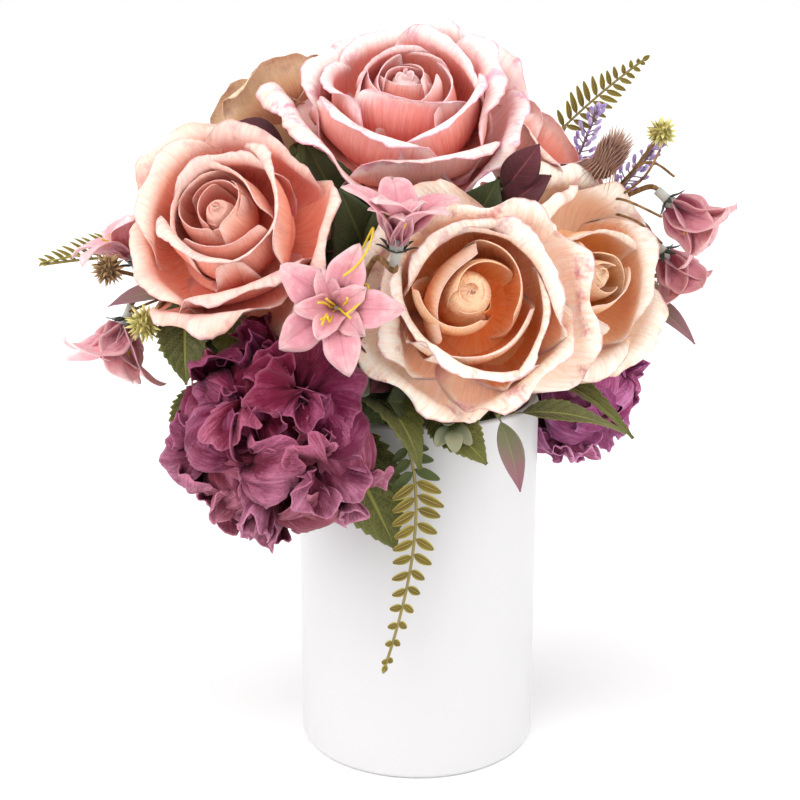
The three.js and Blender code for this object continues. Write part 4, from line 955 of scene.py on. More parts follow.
# open is how flat the star lies, from shut to wide open. half is half the width of its points. blunt makes
# them rounder. pale is painted light and shade: a star that stands in shade is drawn lighter, and one with
# pale below zero darker. trails are threads that hang out of the star.
LILIES = [
    dict(name="lily_left_low", centre=(-117, -28, 181), axis=(-0.35, -0.25, -0.9), size=29, open=0.36,
         seed=71.9, double=True, half=8.8, blunt=1.3, pale=5),
    dict(name="lily_left_high", centre=(-117, -9, 213), axis=(-0.5, 0.0, 0.85), size=26, open=0.5,
         seed=72, double=False, pale=4),
    dict(name="lily_centre_high", centre=(-8, -79, 230), axis=(0.1, -0.2, 0.95), size=28, open=0.35,
         seed=73.4, double=True, half=7.2),
    dict(name="lily_centre_low", centre=(-30, -86, 204), axis=(-0.1, -0.95, 0.2), size=25, open=0.75,
         seed=74, double=True,
         trails=[
             ((-24, -68, 215), (-17, -80, 231), (-18, -86, 226), (-22, -89, 220), (-27, -90, 216)),
             ((-26, -70, 206), (-19, -84, 212), (-20, -90, 208), (-26, -92, 203)),
         ]),
    dict(name="lily_right_high", centre=(107, 8, 225), axis=(0.72, -0.28, -0.64), size=27, open=0.16,
         seed=75, double=False, half=9.4, blunt=1, pale=-1, threads=3),
    dict(name="lily_right_low", centre=(108, 28, 200), axis=(0.6, 0.1, -0.8), size=22, open=0.16,
         seed=76.3, double=False, half=8.6, blunt=0.6, threads=3),
    dict(name="lily_back", centre=(50, 102, 208), axis=(0.3, 0.85, 0.3), size=25, open=0.6,
         seed=77, double=False),
]


def star_petal(size, slope, half, sharp, seed):
    """One point of a star: narrow at its root, folded along its middle, its edges and tip turned back."""
    draw = [jitter(seed + 0.51 * k) for k in range(7)]

    def shape(u, v):
        outline = np.sin(math.pi * np.clip(0.06 + 0.94 * v ** (1.1 + 0.3 * sharp), 0, 1))
        width = half * outline ** (0.55 + 0.25 * sharp) + half * 0.18 * (1 - v)
        across = u * width * (1 + 0.07 * np.sin(14 * v + 5 * draw[0]))
        tilt = slope + 0.35 * (1 - v) - (0.05 + 0.25 * abs(draw[1])) * v**3
        fold = 0.26 * np.minimum(np.abs(across), 5) + 0.7 * np.sin(7 * v + 4 * draw[2]) * u**2
        turned_back = 1.4 * u**4 * v * (1 + draw[3])
        crinkle = 0.25 * np.sin(9 * u + 20 * v + 6 * draw[4]) * v + 0.5 * np.sin(4 * u + 5 * draw[5]) * v**2
        rise = fold - turned_back + crinkle
        distance = size * v
        radial = distance * np.cos(tilt) - rise * np.sin(tilt)
        height = distance * np.sin(tilt) + rise * np.cos(tilt)
        return stack(radial, across + 1.5 * draw[6] * v**2, height + LILY_TUBE - 1)

    return shape


def sheer_cloth():
    """Sheer pink cloth: rose at the star's heart, nearly white at its edges, with fine lines to its tips."""
    sheer = Finish("sheer_pink_cloth", Roughness=0.6, Sheen_Weight=0.3, Specular_IOR_Level=0.3,
                   Subsurface_Weight=0.2, Subsurface_Scale=1.5 * MM)
    tone = sheer.mark("tone")
    cut = sheer.add("SeparateXYZ", {"Vector": sheer.coords("UV")})
    across, along = cut, cut.node.outputs["Y"]
    middle = sheer.math("ABSOLUTE", sheer.math("MULTIPLY_ADD", across, 2, -1))
    lengthways = sheer.coords("UV", (22, 1.6, 1))
    streaks = sheer.noise(sheer.shifted(lengthways, sheer.math("MULTIPLY", tone, 13)), 1, 3)
    cloud = sheer.noise(sheer.coords("Object"), 230, 4, 0.65)
    lift = sheer.math("MULTIPLY_ADD", sheer.math("SUBTRACT", streaks, 0.5), 0.6, along)
    lift = sheer.math("MULTIPLY_ADD", sheer.math("SUBTRACT", cloud, 0.5), 0.8, lift)
    colour = sheer.mix(sheer.step(lift, 0.08, 0.6), tint("#92394e"), tint("#d28a95"))
    colour = sheer.mix(sheer.step(lift, 0.6, 1.15), colour, tint("#efc3c3"))
    colour = sheer.mix(sheer.step(streaks, 0.5, 0.72, 0, 0.35), colour, tint("#a64f63"))
    colour = sheer.mix(sheer.step(middle, 0.66, 1.0, 0, 0.3), colour, tint("#f5d3d1"))
    colour = sheer.mix(sheer.step(middle, 0.0, 0.1, 0.35, 0), colour, tint("#b75d70"))
    shade = sheer.add("HueSaturation", {
        "Saturation": sheer.math("MULTIPLY_ADD", tone, -0.025, 1.0),
        "Value": sheer.math("MULTIPLY_ADD", tone, 0.07, 1.0),
        "Color": colour,
    })
    normal = sheer.bump(streaks, 0.6, 0.5 * MM)
    normal = sheer.bump(cloud, 0.5, 0.7 * MM, normal)
    return sheer.done(shade, sheer.step(cloud, 0.3, 0.7, 0.5, 0.65), normal)


def stamen_yellow():
    """Dyed yellow thread."""
    yellow = Finish("stamen_yellow", Roughness=0.5, Specular_IOR_Level=0.4)
    grain = yellow.noise(yellow.coords("Object"), 500)
    colour = yellow.mix(grain, tint("#c9a21a"), tint("#f0d544"))
    return yellow.done(colour, normal=yellow.bump(grain, 0.4, 0.2 * MM))


def white_tube():
    """Greyish white soft plastic that lets a little light through."""
    tube = Finish("sheer_white_tube", Roughness=0.45, Subsurface_Weight=0.3, Subsurface_Scale=2 * MM)
    grain = tube.noise(tube.coords("Object"), 160)
    colour = tube.mix(grain, tint("#9b9d95"), tint("#c5c4bc"))
    return tube.done(colour, normal=tube.bump(grain, 0.2, 0.3 * MM))


pink_sheer = sheer_cloth()
yellow_thread = stamen_yellow()
tube_white = white_tube()
spiky_green = printed_leaf("spiky_calyx", "#16241a", "#22301f", "#34452c", "#101a12", 0.45, 0.2)


def through(points):
    """Bezier bends that run smoothly through some points."""
    points = [Vector(p) for p in points]
    bends = []
    for i, place in enumerate(points):
        before, after = points[max(0, i - 1)], points[min(len(points) - 1, i + 1)]
        pull = (after - before) / 6
        bends.append((place - pull, place, place + pull))
    return bends


def star(lily, place):
    """The star's points, and those of the smaller star inside a double one."""
    slope = mix(1.25, 0.1, lily["open"])
    half, sharp = lily.get("half", STAR_HALF), STAR_SHARPNESS - lily.get("blunt", 0)
    rings = [(0, lily["size"], slope, half, sharp)]
    if lily["double"]:
        inner_slope = mix(1.3, 0.2, lily["open"] * 0.6)
        inner_start = math.pi / STAR_POINTS
        rings.append((inner_start, lily["size"] * INNER_SIZE, inner_slope, INNER_HALF, INNER_SHARPNESS))
    petals = []
    for ring, (start, size, tilt, half, sharp) in enumerate(rings):
        for i in range(STAR_POINTS):
            seed = lily["seed"] + i + 20 * ring
            shape = star_petal(size, tilt + 0.12 * jitter(seed), half, sharp, seed)
            turn = Quaternion((0, 0, 1), start + 2 * math.pi * i / STAR_POINTS)
            whole = place @ turn.to_matrix().to_4x4()
            # pale adds painted light to the star's tone: a star that stands in shade is drawn lighter.
            tone = jitter(seed) + lily.get("pale", 0)
            petals.append(blade(lambda u, v: moved(shape(u, v), whole), *STAR_GRID, tone=tone))
    return petals


def stamens(lily, place):
    """Kinked threads that lean out of the tube, and those that hang out of the star."""
    threads = []
    for i in range(lily.get("threads", STAMENS)):
        turn = 2 * math.pi * i / STAMENS + jitter(i)
        lean = 0.25 + 0.3 * abs(jitter(lily["seed"] + i))
        course = []
        for step in range(THREAD_BENDS):
            high = step * THREAD_RISE
            kink = 0.9 * jitter(lily["seed"] + 7 * i + step) * (step > 0)
            reach = 0.6 + high * lean + kink
            bend = Vector((reach * math.cos(turn) + kink, reach * math.sin(turn), LILY_TUBE + high))
            course.append(place @ bend)
        threads.append(stalk(through(course), THREAD_RADIUS))
    for trail in lily.get("trails", []):
        threads.append(stalk(through(trail), THREAD_RADIUS))
    return threads


def spike(u, v):
    """One stiff point of the calyx, standing out from the tube."""
    width = 1.25 * (1 - v) ** 0.8 + 0.05
    return stack(2.5 + 5.2 * v, u * width, LILY_TUBE - 3.2 + 3.4 * v - 1.2 * v**3)


for lily in LILIES:
    out = Vector(lily["axis"]).normalized()
    base = Vector(lily["centre"]) - out * (LILY_TUBE + LILY_CUP)
    place = placing(base, facing(out, lily["seed"]))
    petals = star(lily, place)
    hand_in(joined(lily["name"] + "_star", petals, pink_sheer, CLOTH), "pink_lily_petal", lily["name"])
    tube = spun(TUBE_PROFILE, TUBE_SIDES, place)
    hand_in(joined(lily["name"] + "_tube", [tube], tube_white), "pink_lily_petal", lily["name"])
    threads = stamens(lily, place)
    hand_in(joined(lily["name"] + "_stamens", threads, yellow_thread), "pink_lily_petal", lily["name"])
    spikes = []
    for i in range(CALYX_SPIKES):
        turned_on = place @ Quaternion((0, 0, 1), 2 * math.pi * i / CALYX_SPIKES).to_matrix().to_4x4()
        spikes.append(blade(lambda u, v: moved(spike(u, v), turned_on), *SPIKE_GRID, tone=jitter(i)))
    hand_in(joined(lily["name"] + "_calyx", spikes, spiky_green, CLOTH), "pink_lily_petal", lily["name"])

# ---------- ferns ----------
# Four fronds of printed leaflets on wire ribs. The leaflets are moulded in pairs from satin plastic and fixed
# along the rib, which is taped in olive and tan. One frond hangs down the front of the vase.
FERN_WIRE = 1.2
RIB_WIRE = 0.6
LEAFLET_GRID = (6, 12)
TIP_LENGTH = 4
TIP_WIDTH = 2.4
DARK_PAIRS = 3
DARK_SHARE = 0.9

# points are three places on the arc of the leafy part. fold is how far the leaflets stand up from the rib,
# sway how far they lean along it, and hook how far their tips bend along it. dark makes the first pairs of
# leaflets, nearest the foot of the leafy part, dark green.
FERNS = [
    dict(name="fern_left", hole=(-35, 10), reach=25, up=(0.05, -0.35, 0.95),
         points=[(-84, 20, 204), (-120, 18, 205), (-156, 15, 202)],
         pairs=20, length=13, width=2.6, fold=1.1, sway=0.7, hook=0.6, dark=0),
    dict(name="fern_right", hole=(17, 27), arrive=(0.45, -0.2, 0.88), reach=42, rise=20, up=(-0.1, -1, 0.1),
         points=[(66, 86, 252), (84, 89, 268), (103, 89, 283)],
         pairs=12, length=12, width=3.2, fold=0.25, dark=0),
    dict(name="fern_hanging", hole=(-4, -34), reach=14, rise=16, up=(0.15, -1, 0.1),
         points=[(-5, -62, 148), (-2, -66, 110), (-14, -63, 54)],
         pairs=15, length=12, width=4.5, fold=0.2, dark=1),
    dict(name="fern_back", hole=(-14, 32), reach=24, up=(0, 0.4, 0.9),
         points=[(-36, 78, 214), (-46, 98, 216), (-58, 118, 204)],
         pairs=13, length=12, width=3.6, fold=0.25, dark=0),
]


def fern_print():
    """Olive-yellow leaflets, brown at their middle and paler at the edge, those marked dark in dark green."""
    fern = Finish("fern_print", Roughness=0.6, Specular_IOR_Level=0.3)
    tone, dark = fern.mark("tone"), fern.mark("age")
    cut = fern.add("SeparateXYZ", {"Vector": fern.coords("UV")})
    across, along = cut, cut.node.outputs["Y"]
    middle = fern.math("ABSOLUTE", fern.math("MULTIPLY_ADD", across, 2, -1))
    place = fern.coords("Object")
    cloud = fern.noise(place, 160, 4)
    inside = fern.math("MULTIPLY_ADD", fern.math("SUBTRACT", cloud, 0.5), 0.7, middle)
    colour = fern.mix(fern.step(inside, 0.15, 0.75), tint("#5d4a1f"), tint("#7a6d2a"))
    colour = fern.mix(fern.step(middle, 0.72, 1.0, 0, 0.75), colour, tint("#c2b254"))
    colour = fern.mix(fern.step(middle, 0.03, 0.14, 0.7, 0), colour, tint("#b8a548"))
    colour = fern.mix(dark, colour, tint("#3a4a22"))
    shade = fern.add("HueSaturation", {"Value": fern.math("MULTIPLY_ADD", tone, 0.12, 1.0), "Color": colour})
    veins = fern.noise(fern.coords("UV", (2, 14, 1)), 1, 3)
    return fern.done(shade, fern.step(cloud, 0.3, 0.7, 0.5, 0.68), fern.bump(veins, 0.5, 0.5 * MM))


def rib_tape():
    """Tape in olive and tan, mottled."""
    rib = Finish("fern_rib", Roughness=0.6)
    grain = rib.noise(rib.coords("Object"), 220)
    colour = rib.mix(grain, tint("#6a6a2c"), tint("#a58d55"))
    return rib.done(colour, normal=rib.bump(grain, 0.3, 0.3 * MM))


fern_cloth = fern_print()
fern_rib = rib_tape()


def arc_point(points, t):
    """The point at t, from 0 to 1, on the smooth arc through three points."""
    a, b, c = [Vector(p) for p in points]
    return a * (1 - t) * (1 - 2 * t) + b * 4 * t * (1 - t) + c * t * (2 * t - 1)


def leaflet(root, along, over, length, width, hook=(0, 0, 0)):
    """A small cupped oval leaf on a short stalk, its tip drawn aside by the hook."""
    along, over = along.normalized(), over.normalized()
    side = along.cross(over).normalized()
    a, along, side, over, hook = [np.array(p, float)[None, :] for p in (root, along, side, over, hook)]

    def shape(u, v):
        v, u = v[:, None], u[:, None]
        half = width / 2 * np.maximum(0.12, np.sin(math.pi * np.clip((v - 0.1) / 0.93, 0, 1) ** 0.8) ** 0.6)
        arch = 0.1 * length * np.sin(math.pi * v) - 0.1 * length * v**2
        middle = a + (along * v + hook * v**2) * length
        return middle + side * u * half + over * (arch + 0.25 * half * np.abs(u))

    return shape


def leaflet_pairs(n, fern):
    """The pairs of leaflets, longest near the foot of the leafy part and shortest at its end."""
    leaflets = []
    for i in range(fern["pairs"]):
        t = (i + 0.5) / (fern["pairs"] + 0.2)
        share = i / (fern["pairs"] - 1)
        reach = fern["length"] * min(1, 0.6 + 1.6 * share) * (1 - share**1.3 * 0.82)
        width = fern["width"] * (0.55 + 0.45 * reach / fern["length"])
        ahead, behind = arc_point(fern["points"], t + 0.01), arc_point(fern["points"], t - 0.01)
        tangent = (ahead - behind).normalized()
        side = tangent.cross(Vector(fern["up"])).normalized()
        over = side.cross(tangent)
        hook = tangent * fern.get("hook", 0.15)
        dark = fern["dark"] * (i < DARK_PAIRS) * DARK_SHARE
        for hand in (-1, 1):
            seed = 31 * n + 2.7 * i + hand
            sway = fern.get("sway", 0.35) + 0.12 * jitter(seed)
            rise = fern["fold"] + 0.15 * jitter(seed + 0.4)
            along = side * hand + tangent * sway + over * rise
            root = arc_point(fern["points"], t) + tangent * 0.5 * hand
            length = reach * math.sqrt(1 + fern["fold"] ** 2) * (1 + 0.06 * jitter(seed + 0.8))
            shape = leaflet(root, along, over - side * hand * rise, length, width, hook)
            leaflets.append(blade(shape, *LEAFLET_GRID, tone=jitter(seed), age=dark))
    return leaflets


for n, fern in enumerate(FERNS):
    line = [arc_point(fern["points"], t) for t in (0, 0.02, 0.04, 0.06)]
    arrive = fern.get("arrive") or line[3] - line[1]
    bends = stem_bends(fern["hole"], line[2], arrive, fern["reach"], fern.get("rise"))
    course = [arc_point(fern["points"], i / 8) for i in range(9)]
    ribs = [stalk(bends, FERN_WIRE), stalk(through(course), RIB_WIRE)]
    hand_in(joined(fern["name"] + "_rib", ribs, fern_rib), "fern_frond", fern["name"])
    leaflets = leaflet_pairs(n, fern)
    last, beyond = arc_point(fern["points"], 0.97), arc_point(fern["points"], 1.03)
    end_leaf = leaflet(last, beyond - last, Vector(fern["up"]), TIP_LENGTH, TIP_WIDTH)
    leaflets.append(blade(end_leaf, *LEAFLET_GRID, tone=0, age=0))
    hand_in(joined(fern["name"] + "_leaflets", leaflets, fern_cloth, CLOTH), "fern_frond", fern["name"])

# ---------- twigs and thistles ----------
# Brown paper-wound wire that forks to carry the lilies, the spiny burrs and one brush thistle. The burrs are
# moulded foam balls set with flat cut spines, and the brush is a bulb bound round with stiff bristles.
SPRAY_WIRE = 1.44
PIN_WIRE = 1.1
BURR_WIRE = 0.8
SNAG_WIRE = 0.55
PIN_LENGTH = 5
PIN_LEAD = 2
PIN_SHARE = 0.9

# Every branch starts at the fork. A lily has its name and the place its branch passes. A burr has its
# centre, its radius, the place its branch passes, and its colour. A snag, a bare twig, has its bend and end.
SPRAYS = [
    dict(name="twig_left", hole=(-36, -3), fork=(-90, -20, 190), arrive=(-0.8, -0.25, 0.35), reach=26,
         lilies=[
             ("lily_left_low", (-104, -20, 201)),
             ("lily_left_high", (-102, -12, 194)),
         ],
         burrs=[
             ((-104, -46, 190), 8, (-97, -34, 196), "olive"),
             ((-120, -30, 208), 7, (-106, -26, 203), "brown"),
         ],
         snags=[
             ((-98, -26, 196), (-112, -34, 192)),
             ((-94, -28, 188), (-100, -40, 178)),
         ]),
    dict(name="twig_centre", hole=(-11, -20), fork=(-22, -50, 205), arrive=(-0.1, -0.7, 0.7), reach=26,
         lilies=[
             ("lily_centre_high", (-16, -64, 218)),
             ("lily_centre_low", (-26, -62, 206)),
         ],
         burrs=[],
         snags=[((-20, -60, 212), (-24, -68, 222))]),
    dict(name="twig_right", hole=(25, 10), fork=(76, 28, 223), arrive=(0.8, 0.1, 0.5), reach=34,
         lilies=[
             ("lily_right_high", (90, 18, 232)),
             ("lily_right_low", (94, 28, 218)),
         ],
         burrs=[((102, 32, 255), 7, (90, 32, 238), "olive")],
         snags=[
             ((82, 10, 230), (98, 0, 224)),
             ((92, 14, 244), (106, 20, 238)),
             ((90, 6, 238), (98, 10, 250)),
             ((88, 4, 222), (100, 8, 212)),
         ]),
    dict(name="twig_back", hole=(9, 35), fork=(43, 79, 199), arrive=(0.4, 0.8, 0.4), reach=26,
         lilies=[("lily_back", (44, 84, 202))],
         burrs=[],
         snags=[((48, 84, 208), (56, 88, 216))]),
]
BURR_SPINES = 64
BURR_CORE = 0.5
BURR_ROOT = 0.4
SPINE_LENGTH = 0.62
SPINE_BROAD = 1.25
SPINE_THIN = 0.5
BRUSH_CENTRE = (77, 14, 245)
BRUSH_AXIS = (0.45, -0.25, 0.85)
BRUSH_LEAD = (70, 20, 232)
BRUSH_WIRE = 1.2
BRUSH_RADIUS = 5.4
BRUSH_STRETCH = 1.5
BULB_BRISTLES = 150
BULB_BRISTLE_LENGTH = 6
HANGING_BRISTLES = 26
HANGING_BRISTLE_LENGTH = 10
TUFT_BRISTLES = 70
TUFT_BRISTLE_LENGTH = 9


def twig_bark():
    """Brown paper wound round the wire, mottled light and dark."""
    bark = Finish("twig_bark", Roughness=0.75, Specular_IOR_Level=0.2)
    grain = bark.noise(bark.coords("Object", (1, 1, 0.3)), 330, 4, 0.65)
    colour = bark.mix(bark.step(grain, 0.3, 0.7), tint("#5b4028"), tint("#a17a4f"))
    return bark.done(colour, normal=bark.bump(grain, 0.6, 0.4 * MM))


def spine_finish(name, root, tip):
    """Stiff cut spines, darker where they are set into the ball. Each carries its own tone."""
    spine = Finish(name, Roughness=0.7, Specular_IOR_Level=0.2)
    tone = spine.mark("tone")
    grain = spine.noise(spine.coords("Object"), 420, 3)
    colour = spine.mix(spine.math("MULTIPLY_ADD", grain, 0.8, tone), tint(root), tint(tip))
    return spine.done(colour, spine.step(grain, 0.3, 0.7, 0.6, 0.8), spine.bump(grain, 0.5, 0.3 * MM))


bark = twig_bark()
olive_spines = spine_finish("olive_spines", "#6f6127", "#e3d98c")
brown_spines = spine_finish("brown_spines", "#4a3523", "#b3936a")
brush_bristles = spine_finish("brush_bristles", "#5c3b30", "#ad8978")

bpy.ops.mesh.primitive_cone_add(vertices=6, radius1=1 * MM, radius2=0.08 * MM, depth=1 * MM,
                                location=(0, 0, 0.5 * MM))
spine_model = bpy.context.object
bpy.ops.object.transform_apply(location=True, rotation=True, scale=True)
spine_mesh = spine_model.data
bpy.data.objects.remove(spine_model)


def spine_at(root, out, length, broad, thin, roll, tone):
    """A copy of the spine, made as long, broad and thin as asked, standing at its root."""
    mesh = spine_mesh.copy()
    heights = [tone + 0.7 * (vertex.co.z > 0.5 * MM) for vertex in mesh.vertices]
    size = Matrix.Diagonal((broad, thin, length, 1))
    place = Matrix.Scale(MM, 4) @ placing(root, facing(out, roll)) @ Matrix.Scale(1 / MM, 4)
    mesh.transform(place @ size)
    attribute = mesh.attributes.new("tone", "FLOAT", "POINT")
    attribute.data.foreach_set("value", heights)
    piece = bpy.data.objects.new("spine", mesh)
    bpy.context.scene.collection.objects.link(piece)
    return piece


def ball_at(centre, radius, stretch=1.0, turn=None):
    """A small round ball, or an egg where it is stretched."""
    bpy.ops.mesh.primitive_uv_sphere_add(segments=16, ring_count=10, radius=radius * MM)
    piece = bpy.context.object
    place = placing(centre, turn or Quaternion()) @ Matrix.Diagonal((1, 1, stretch, 1))
    piece.data.transform(Matrix.Scale(MM, 4) @ place @ Matrix.Scale(1 / MM, 4))
    return piece


def spread_out(count):
    """Directions spread evenly over a ball."""
    for i in range(count):
        height = 1 - 2 * (i + 0.5) / count
        flat = math.sqrt(1 - height * height)
        yield Vector((flat * math.cos(i * GOLDEN_ANGLE), flat * math.sin(i * GOLDEN_ANGLE), height))


def burr(name, centre, radius, finish):
    """A ball set all over with flat spines, each leaning a little its own way."""
    pieces = [ball_at(centre, radius * BURR_CORE)]
    for i, out in enumerate(spread_out(BURR_SPINES)):
        root = Vector(centre) + out * radius * BURR_ROOT
        lean = (out + 0.35 * Vector((jitter(i), jitter(i + 0.3), jitter(i + 0.6)))).normalized()
        length = radius * (SPINE_LENGTH + 0.1 * jitter(i + 0.9))
        pieces.append(spine_at(root, lean, length, SPINE_BROAD, SPINE_THIN, 2 * i, 0.3 * jitter(i + 3)))
    return joined(name, pieces, finish)


lily_named = {lily["name"]: lily for lily in LILIES}
for spray in SPRAYS:
    fork = Vector(spray["fork"])
    twigs = [stalk(stem_bends(spray["hole"], fork, spray["arrive"], spray["reach"]), SPRAY_WIRE)]
    for name, lead in spray["lilies"]:
        lily = lily_named[name]
        out = Vector(lily["axis"]).normalized()
        base = Vector(lily["centre"]) - out * (LILY_TUBE + LILY_CUP)
        course = [fork, lead, base - out * PIN_LEAD, base + out * PIN_LENGTH * PIN_SHARE]
        twigs.append(stalk(through(course), PIN_WIRE))
    for k, (centre, radius, lead, kind) in enumerate(spray["burrs"]):
        twigs.append(stalk(through([fork, lead, centre]), BURR_WIRE))
        finish = olive_spines if kind == "olive" else brown_spines
        hand_in(burr(f"{spray['name']}_burr_{k}", centre, radius, finish), "brown_twig", spray["name"])
    for lead, end in spray["snags"]:
        twigs.append(stalk(through([fork, lead, end]), SNAG_WIRE))
    if spray["name"] == "twig_right":
        twigs.append(stalk(through([fork, BRUSH_LEAD, BRUSH_CENTRE]), BRUSH_WIRE))
    hand_in(joined(spray["name"] + "_wire", twigs, bark), "brown_twig", spray["name"])


def brush_thistle():
    """A long bulb with short bristles swept up it, longer ones hanging round its foot, and a tuft on top."""
    turn = facing(Vector(BRUSH_AXIS).normalized())
    place = placing(BRUSH_CENTRE, turn)
    brush = [ball_at(BRUSH_CENTRE, BRUSH_RADIUS, BRUSH_STRETCH, turn)]
    for i in range(BULB_BRISTLES):
        around = i * GOLDEN_ANGLE
        high = -7.5 + 13 * i / BULB_BRISTLES
        ring = 5.2 * math.sqrt(max(0.05, 1 - (high / 8.2) ** 2))
        root = Vector((ring * math.cos(around), ring * math.sin(around), high))
        swept = Vector((0.3 * math.cos(around), 0.3 * math.sin(around), 1)).normalized()
        length, tone = BULB_BRISTLE_LENGTH + jitter(i), 0.3 * jitter(i + 2)
        brush.append(spine_at(place @ root, turn @ swept, length, 0.55, 0.4, 0, tone))
    for i in range(HANGING_BRISTLES):
        around = 2 * math.pi * i / HANGING_BRISTLES
        root = Vector((5 * math.cos(around), 5 * math.sin(around), -1))
        hang = Vector((0.55 * math.cos(around), 0.55 * math.sin(around), -1)).normalized()
        length = HANGING_BRISTLE_LENGTH + 1.5 * jitter(i)
        brush.append(spine_at(place @ root, turn @ hang, length, 0.35, 0.3, 0, 0.5))
    for i in range(TUFT_BRISTLES):
        around = i * GOLDEN_ANGLE
        spread = 0.6 * math.sqrt(i / TUFT_BRISTLES)
        out = Vector((spread * math.cos(around), spread * math.sin(around), 1)).normalized()
        root = place @ Vector((4 * out.x, 4 * out.y, 5))
        length, tone = TUFT_BRISTLE_LENGTH + 1.5 * jitter(i), 0.2 + 0.3 * jitter(i)
        brush.append(spine_at(root, turn @ out, length, 0.5, 0.35, 0, tone))
    return joined("brush_thistle", brush, brush_bristles)


hand_in(brush_thistle(), "brown_twig", "twig_right")

# ---------- lavender ----------
# Two sprigs of lavender. Each bud is a flocked plastic bead on its own short side wire, and they stand in a
# close spiral on a thin purple-brown stem.
LAVENDER_WIRE = 1.02
LAVENDER_STEM = 0.6
SIDE_WIRE = 0.28
LAVENDER_BUDS = 30
FOOT_SWELL = 7.5
TIP_SWELL = 2.4
LAVENDERS = [
    dict(name="lavender_left", hole=(23, 29), reach=36, base=(72, 77, 238), tip=(82, 78, 264)),
    dict(name="lavender_right", hole=(32, 12), reach=26, base=(88, 42, 231), tip=(104, 42, 251)),
]


def flocked_bud():
    """Lilac flock: fine short fuzz, paler where it catches the light."""
    bud = Finish("lavender_flock", Roughness=0.9, Sheen_Weight=0.6, Sheen_Roughness=0.5)
    place = bud.coords("Object")
    fuzz = bud.noise(place, 1500, 2)
    colour = bud.mix(bud.step(bud.noise(place, 260), 0.35, 0.65), tint("#876db0"), tint("#c9b7de"))
    colour = bud.mix(bud.step(fuzz, 0.5, 0.75, 0, 0.5), colour, tint("#cdb9e6"))
    return bud.done(colour, normal=bud.bump(fuzz, 0.6, 0.3 * MM))


def lavender_wire():
    """Purple-brown wire, a little mottled."""
    wire = Finish("lavender_wire", Roughness=0.7)
    grain = wire.noise(wire.coords("Object"), 300)
    colour = wire.mix(grain, tint("#57384a"), tint("#8b6a74"))
    return wire.done(colour, normal=wire.bump(grain, 0.3, 0.2 * MM))


lavender_flock = flocked_bud()
lavender_stem = lavender_wire()
for n, sprig in enumerate(LAVENDERS):
    base, tip = Vector(sprig["base"]), Vector(sprig["tip"])
    out = (tip - base).normalized()
    length = (tip - base).length
    place = placing(base, facing(out))
    wires = [stalk(stem_bends(sprig["hole"], base + out * 2, out, sprig["reach"]), LAVENDER_WIRE)]
    wires.append(stalk(through([base, base + out * length * 0.5, tip - out * 3]), LAVENDER_STEM))
    buds = []
    for i in range(LAVENDER_BUDS):
        level = (i + 0.5) / LAVENDER_BUDS
        around = i * GOLDEN_ANGLE + n
        swell = mix(FOOT_SWELL, TIP_SWELL, level) * (0.75 + 0.25 * jitter(i + 9 * n))
        high = length * level
        lean = Vector((math.cos(around), math.sin(around), 1.5)).normalized()
        root = place @ Vector((swell * math.cos(around), swell * math.sin(around), high))
        small = i % 4 == 3
        radius, stretch = (0.85, 1.1) if small else (0.95, 2.3)
        buds.append(ball_at(root, radius, stretch, facing(out) @ facing(lean)))
        wires.append(stalk(through([place @ Vector((0, 0, high - 3)), root]), SIDE_WIRE))
    buds.append(ball_at(tip - out * 2, 1.3, 1.8, facing(out)))
    hand_in(joined(sprig["name"] + "_buds", buds, lavender_flock), "lavender_bud", sprig["name"])
    hand_in(joined(sprig["name"] + "_wires", wires, lavender_stem), "lavender_bud", sprig["name"])

# ---------- loose leaves and sprigs ----------
# Sprays of narrow printed cloth leaves, some dark maroon and some willow-shaped and faded from grey-green to
# mauve, and small pale sprigs of round leaves in frosted soft plastic. All are on thin taped wire.
LEAF_WIRE = 1.08
LEAF_REACH = 20
NARROW_LEAF_GRID = (14, 40)
ROUND_LEAF_GRID = (10, 14)

